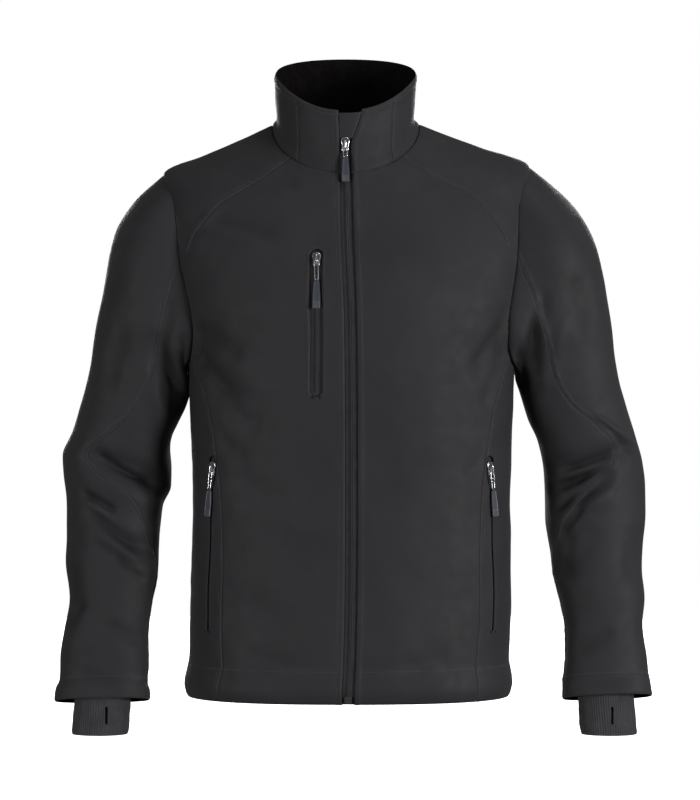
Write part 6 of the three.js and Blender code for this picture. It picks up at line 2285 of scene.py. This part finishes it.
def front_slider() -> Slider:
    """The slider of the front zip, which stands on the collar."""
    u = float(bearing_at_width(COLLAR_TABLE, spot(-0.01), spot(SLIDER_UP))[0])
    point, out = COLLAR.at(u, SLIDER_UP)
    along = COLLAR.at(u, SLIDER_UP + 0.02)[0] - COLLAR.at(u, SLIDER_UP - 0.02)[0]
    seat = Seat(point, out, unit(along - out * (along @ out)))
    goal = point[2] - PULLS["front"].reach() * 0.97
    end = float(solve_rising(lambda up: BODY.place(0 * up, up)[..., 2], goal, spot(0), spot(NECK))[0])
    base = 0.3 - (CHAIN_DEPTH + COLLAR_SUNK)
    return Slider("front", seat, above_cloth(0, end, TAB_LIFT), base, PULLS["front"])


def pocket_slider(name: str, opening: Opening, z: float, chain_depth: float, pull: Pull) -> Slider:
    """The slider of a pocket zip at a height on it."""
    sign = SIGN[opening.hand]
    rows = Table("z out", [(row[1], row[0]) for row in reversed(opening.table)])

    def at(height: float) -> tuple[float, float]:
        bearing, up = on_body([(float(rows.at(spot(height))["out"][0]), height)])[0]
        return sign * bearing, up

    point, out = BODY.at(*at(z))
    up = unit(BODY.at(*at(z + 4))[0] - point)
    seat = Seat(point, unit(out - up * (out @ up)), up)
    resting = above_cloth(*at(z - pull.reach()), TAB_LIFT)
    return Slider(name, seat, resting, 0.3 - chain_depth, pull)


# Studio


# Name, place in metres, width in metres and watts of each light
LIGHTS = (
    ("key", (2.2, -1.8, -0.1), 0.8, 78),
    ("fill", (-1.9, -2.0, -0.5), 0.6, 33),
    ("top", (0.6, -0.6, 2.0), 0.8, 14),
    ("back_left", (-0.9, 2.8, 0.3), 1.0, 34),
    ("back_right", (0.8, 2.8, 0.7), 1.0, 40),
)
LIGHTS_AIM = Vector((0, 0, -0.35))


@dataclass
class Studio:
    """The pale floor, the white surroundings, the soft lights and the camera."""

    floor_z: float = -860.0
    floor_radius: float = 3000.0
    soft_light: float = 0.22
    camera: tuple[float, float, float] = (-0.00125, -3.2, -0.340)
    lens: float = 115.2
    sensor: float = 36.0

    def build(self) -> None:
        """Builds everything round the jacket."""
        self.build_floor()
        self.build_world()
        for light in LIGHTS:
            self.add_light(*light)
        scene = bpy.context.scene
        scene.view_settings.view_transform = "Standard"
        data = bpy.data.cameras.new("photo_camera")
        data.lens = self.lens
        data.sensor_width = self.sensor
        data.sensor_height = self.sensor
        data.sensor_fit = "VERTICAL"
        camera = bpy.data.objects.new("photo_camera", data)
        camera.location = self.camera
        camera.rotation_euler = (math.pi / 2, 0, 0)
        scene.collection.objects.link(camera)
        scene.camera = camera

    def build_floor(self) -> None:
        """A pale round floor, which lights nothing by itself."""
        turns = np.linspace(0, 2 * math.pi, 64, endpoint=False)
        wide = self.floor_radius
        rim = np.stack([wide * np.cos(turns), wide * np.sin(turns), 0 * turns + self.floor_z], axis=-1)
        floor = make_mesh("floor", rim, [list(range(len(rim)))], PAPER)
        floor.visible_glossy = False
        floor.visible_diffuse = False

    def build_world(self) -> None:
        """A white studio to look at, which gives only soft light."""
        world = bpy.data.worlds.new("studio")
        world.use_nodes = True
        tree = world.node_tree
        back = tree.nodes["Background"]
        back.inputs["Color"].default_value = (1, 1, 1, 1)
        seen = tree.nodes.new("ShaderNodeLightPath").outputs["Is Camera Ray"]
        level = tree.nodes.new("ShaderNodeMapRange")
        level.inputs["To Min"].default_value = self.soft_light
        level.inputs["To Max"].default_value = 1.0
        tree.links.new(seen, level.inputs["Value"])
        tree.links.new(level.outputs["Result"], back.inputs["Strength"])
        bpy.context.scene.world = world

    def add_light(self, name: str, place: tuple[float, float, float], size: float, power: float) -> None:
        """An area light turned towards the jacket."""
        data = bpy.data.lights.new(name, "AREA")
        data.size = size
        data.energy = power
        light = bpy.data.objects.new(name, data)
        light.location = place
        light.rotation_euler = (LIGHTS_AIM - Vector(place)).to_track_quat("-Z", "Y").to_euler()
        bpy.context.scene.collection.objects.link(light)


def add_stitches(name: str, pieces: Sequence[ClothPiece]) -> None:
    """All rows of stitches on some pieces, as one piece."""
    stitching = Stitching(name)
    for piece in pieces:
        for points, normals in piece.stitch_lines():
            if len(points) > 2:
                stitching.add_row(points, normals)
    stitching.build()
    LOG.info("%s: %d stitches", name, stitching.count // STITCH_POINTS)


def main() -> None:
    """Builds the jacket and the studio."""
    pattern = Pattern()
    trunk, sleeves = trunk_pieces(pattern), sleeve_pieces()
    sew_together([*trunk, *sleeves])
    for piece in (*trunk, *sleeves):
        made = piece.build()
        LOG.info("%s: %d faces", made.name, len(made.data.polygons))
    add_stitches("trunk_stitches", trunk)
    add_stitches("sleeve_stitches", sleeves)
    build_front_zip()
    ChinGuard().build()
    front_slider().build()
    for hand in HANDS:
        KnitCuff(hand).build()
        LOG.info("knit cuff %s", hand)
    for name, prefix, piece, z in (
        ("chest", "chest_zip", "front_right", -170.0),
        ("hand_right", "hand_zip_right", "side_right", -424.0),
        ("hand_left", "hand_zip_left", "side_left", -424.0),
    ):
        opening = next(p.opening for p in trunk if p.node == piece)
        chain_depth = PocketZip(prefix, opening).build()
        pocket_slider(name, opening, z, chain_depth, PULLS[name.split("_")[0]]).build()
        LOG.info("%s with its slider", prefix)
    Studio().build()


if __name__ == "__main__":
    main()
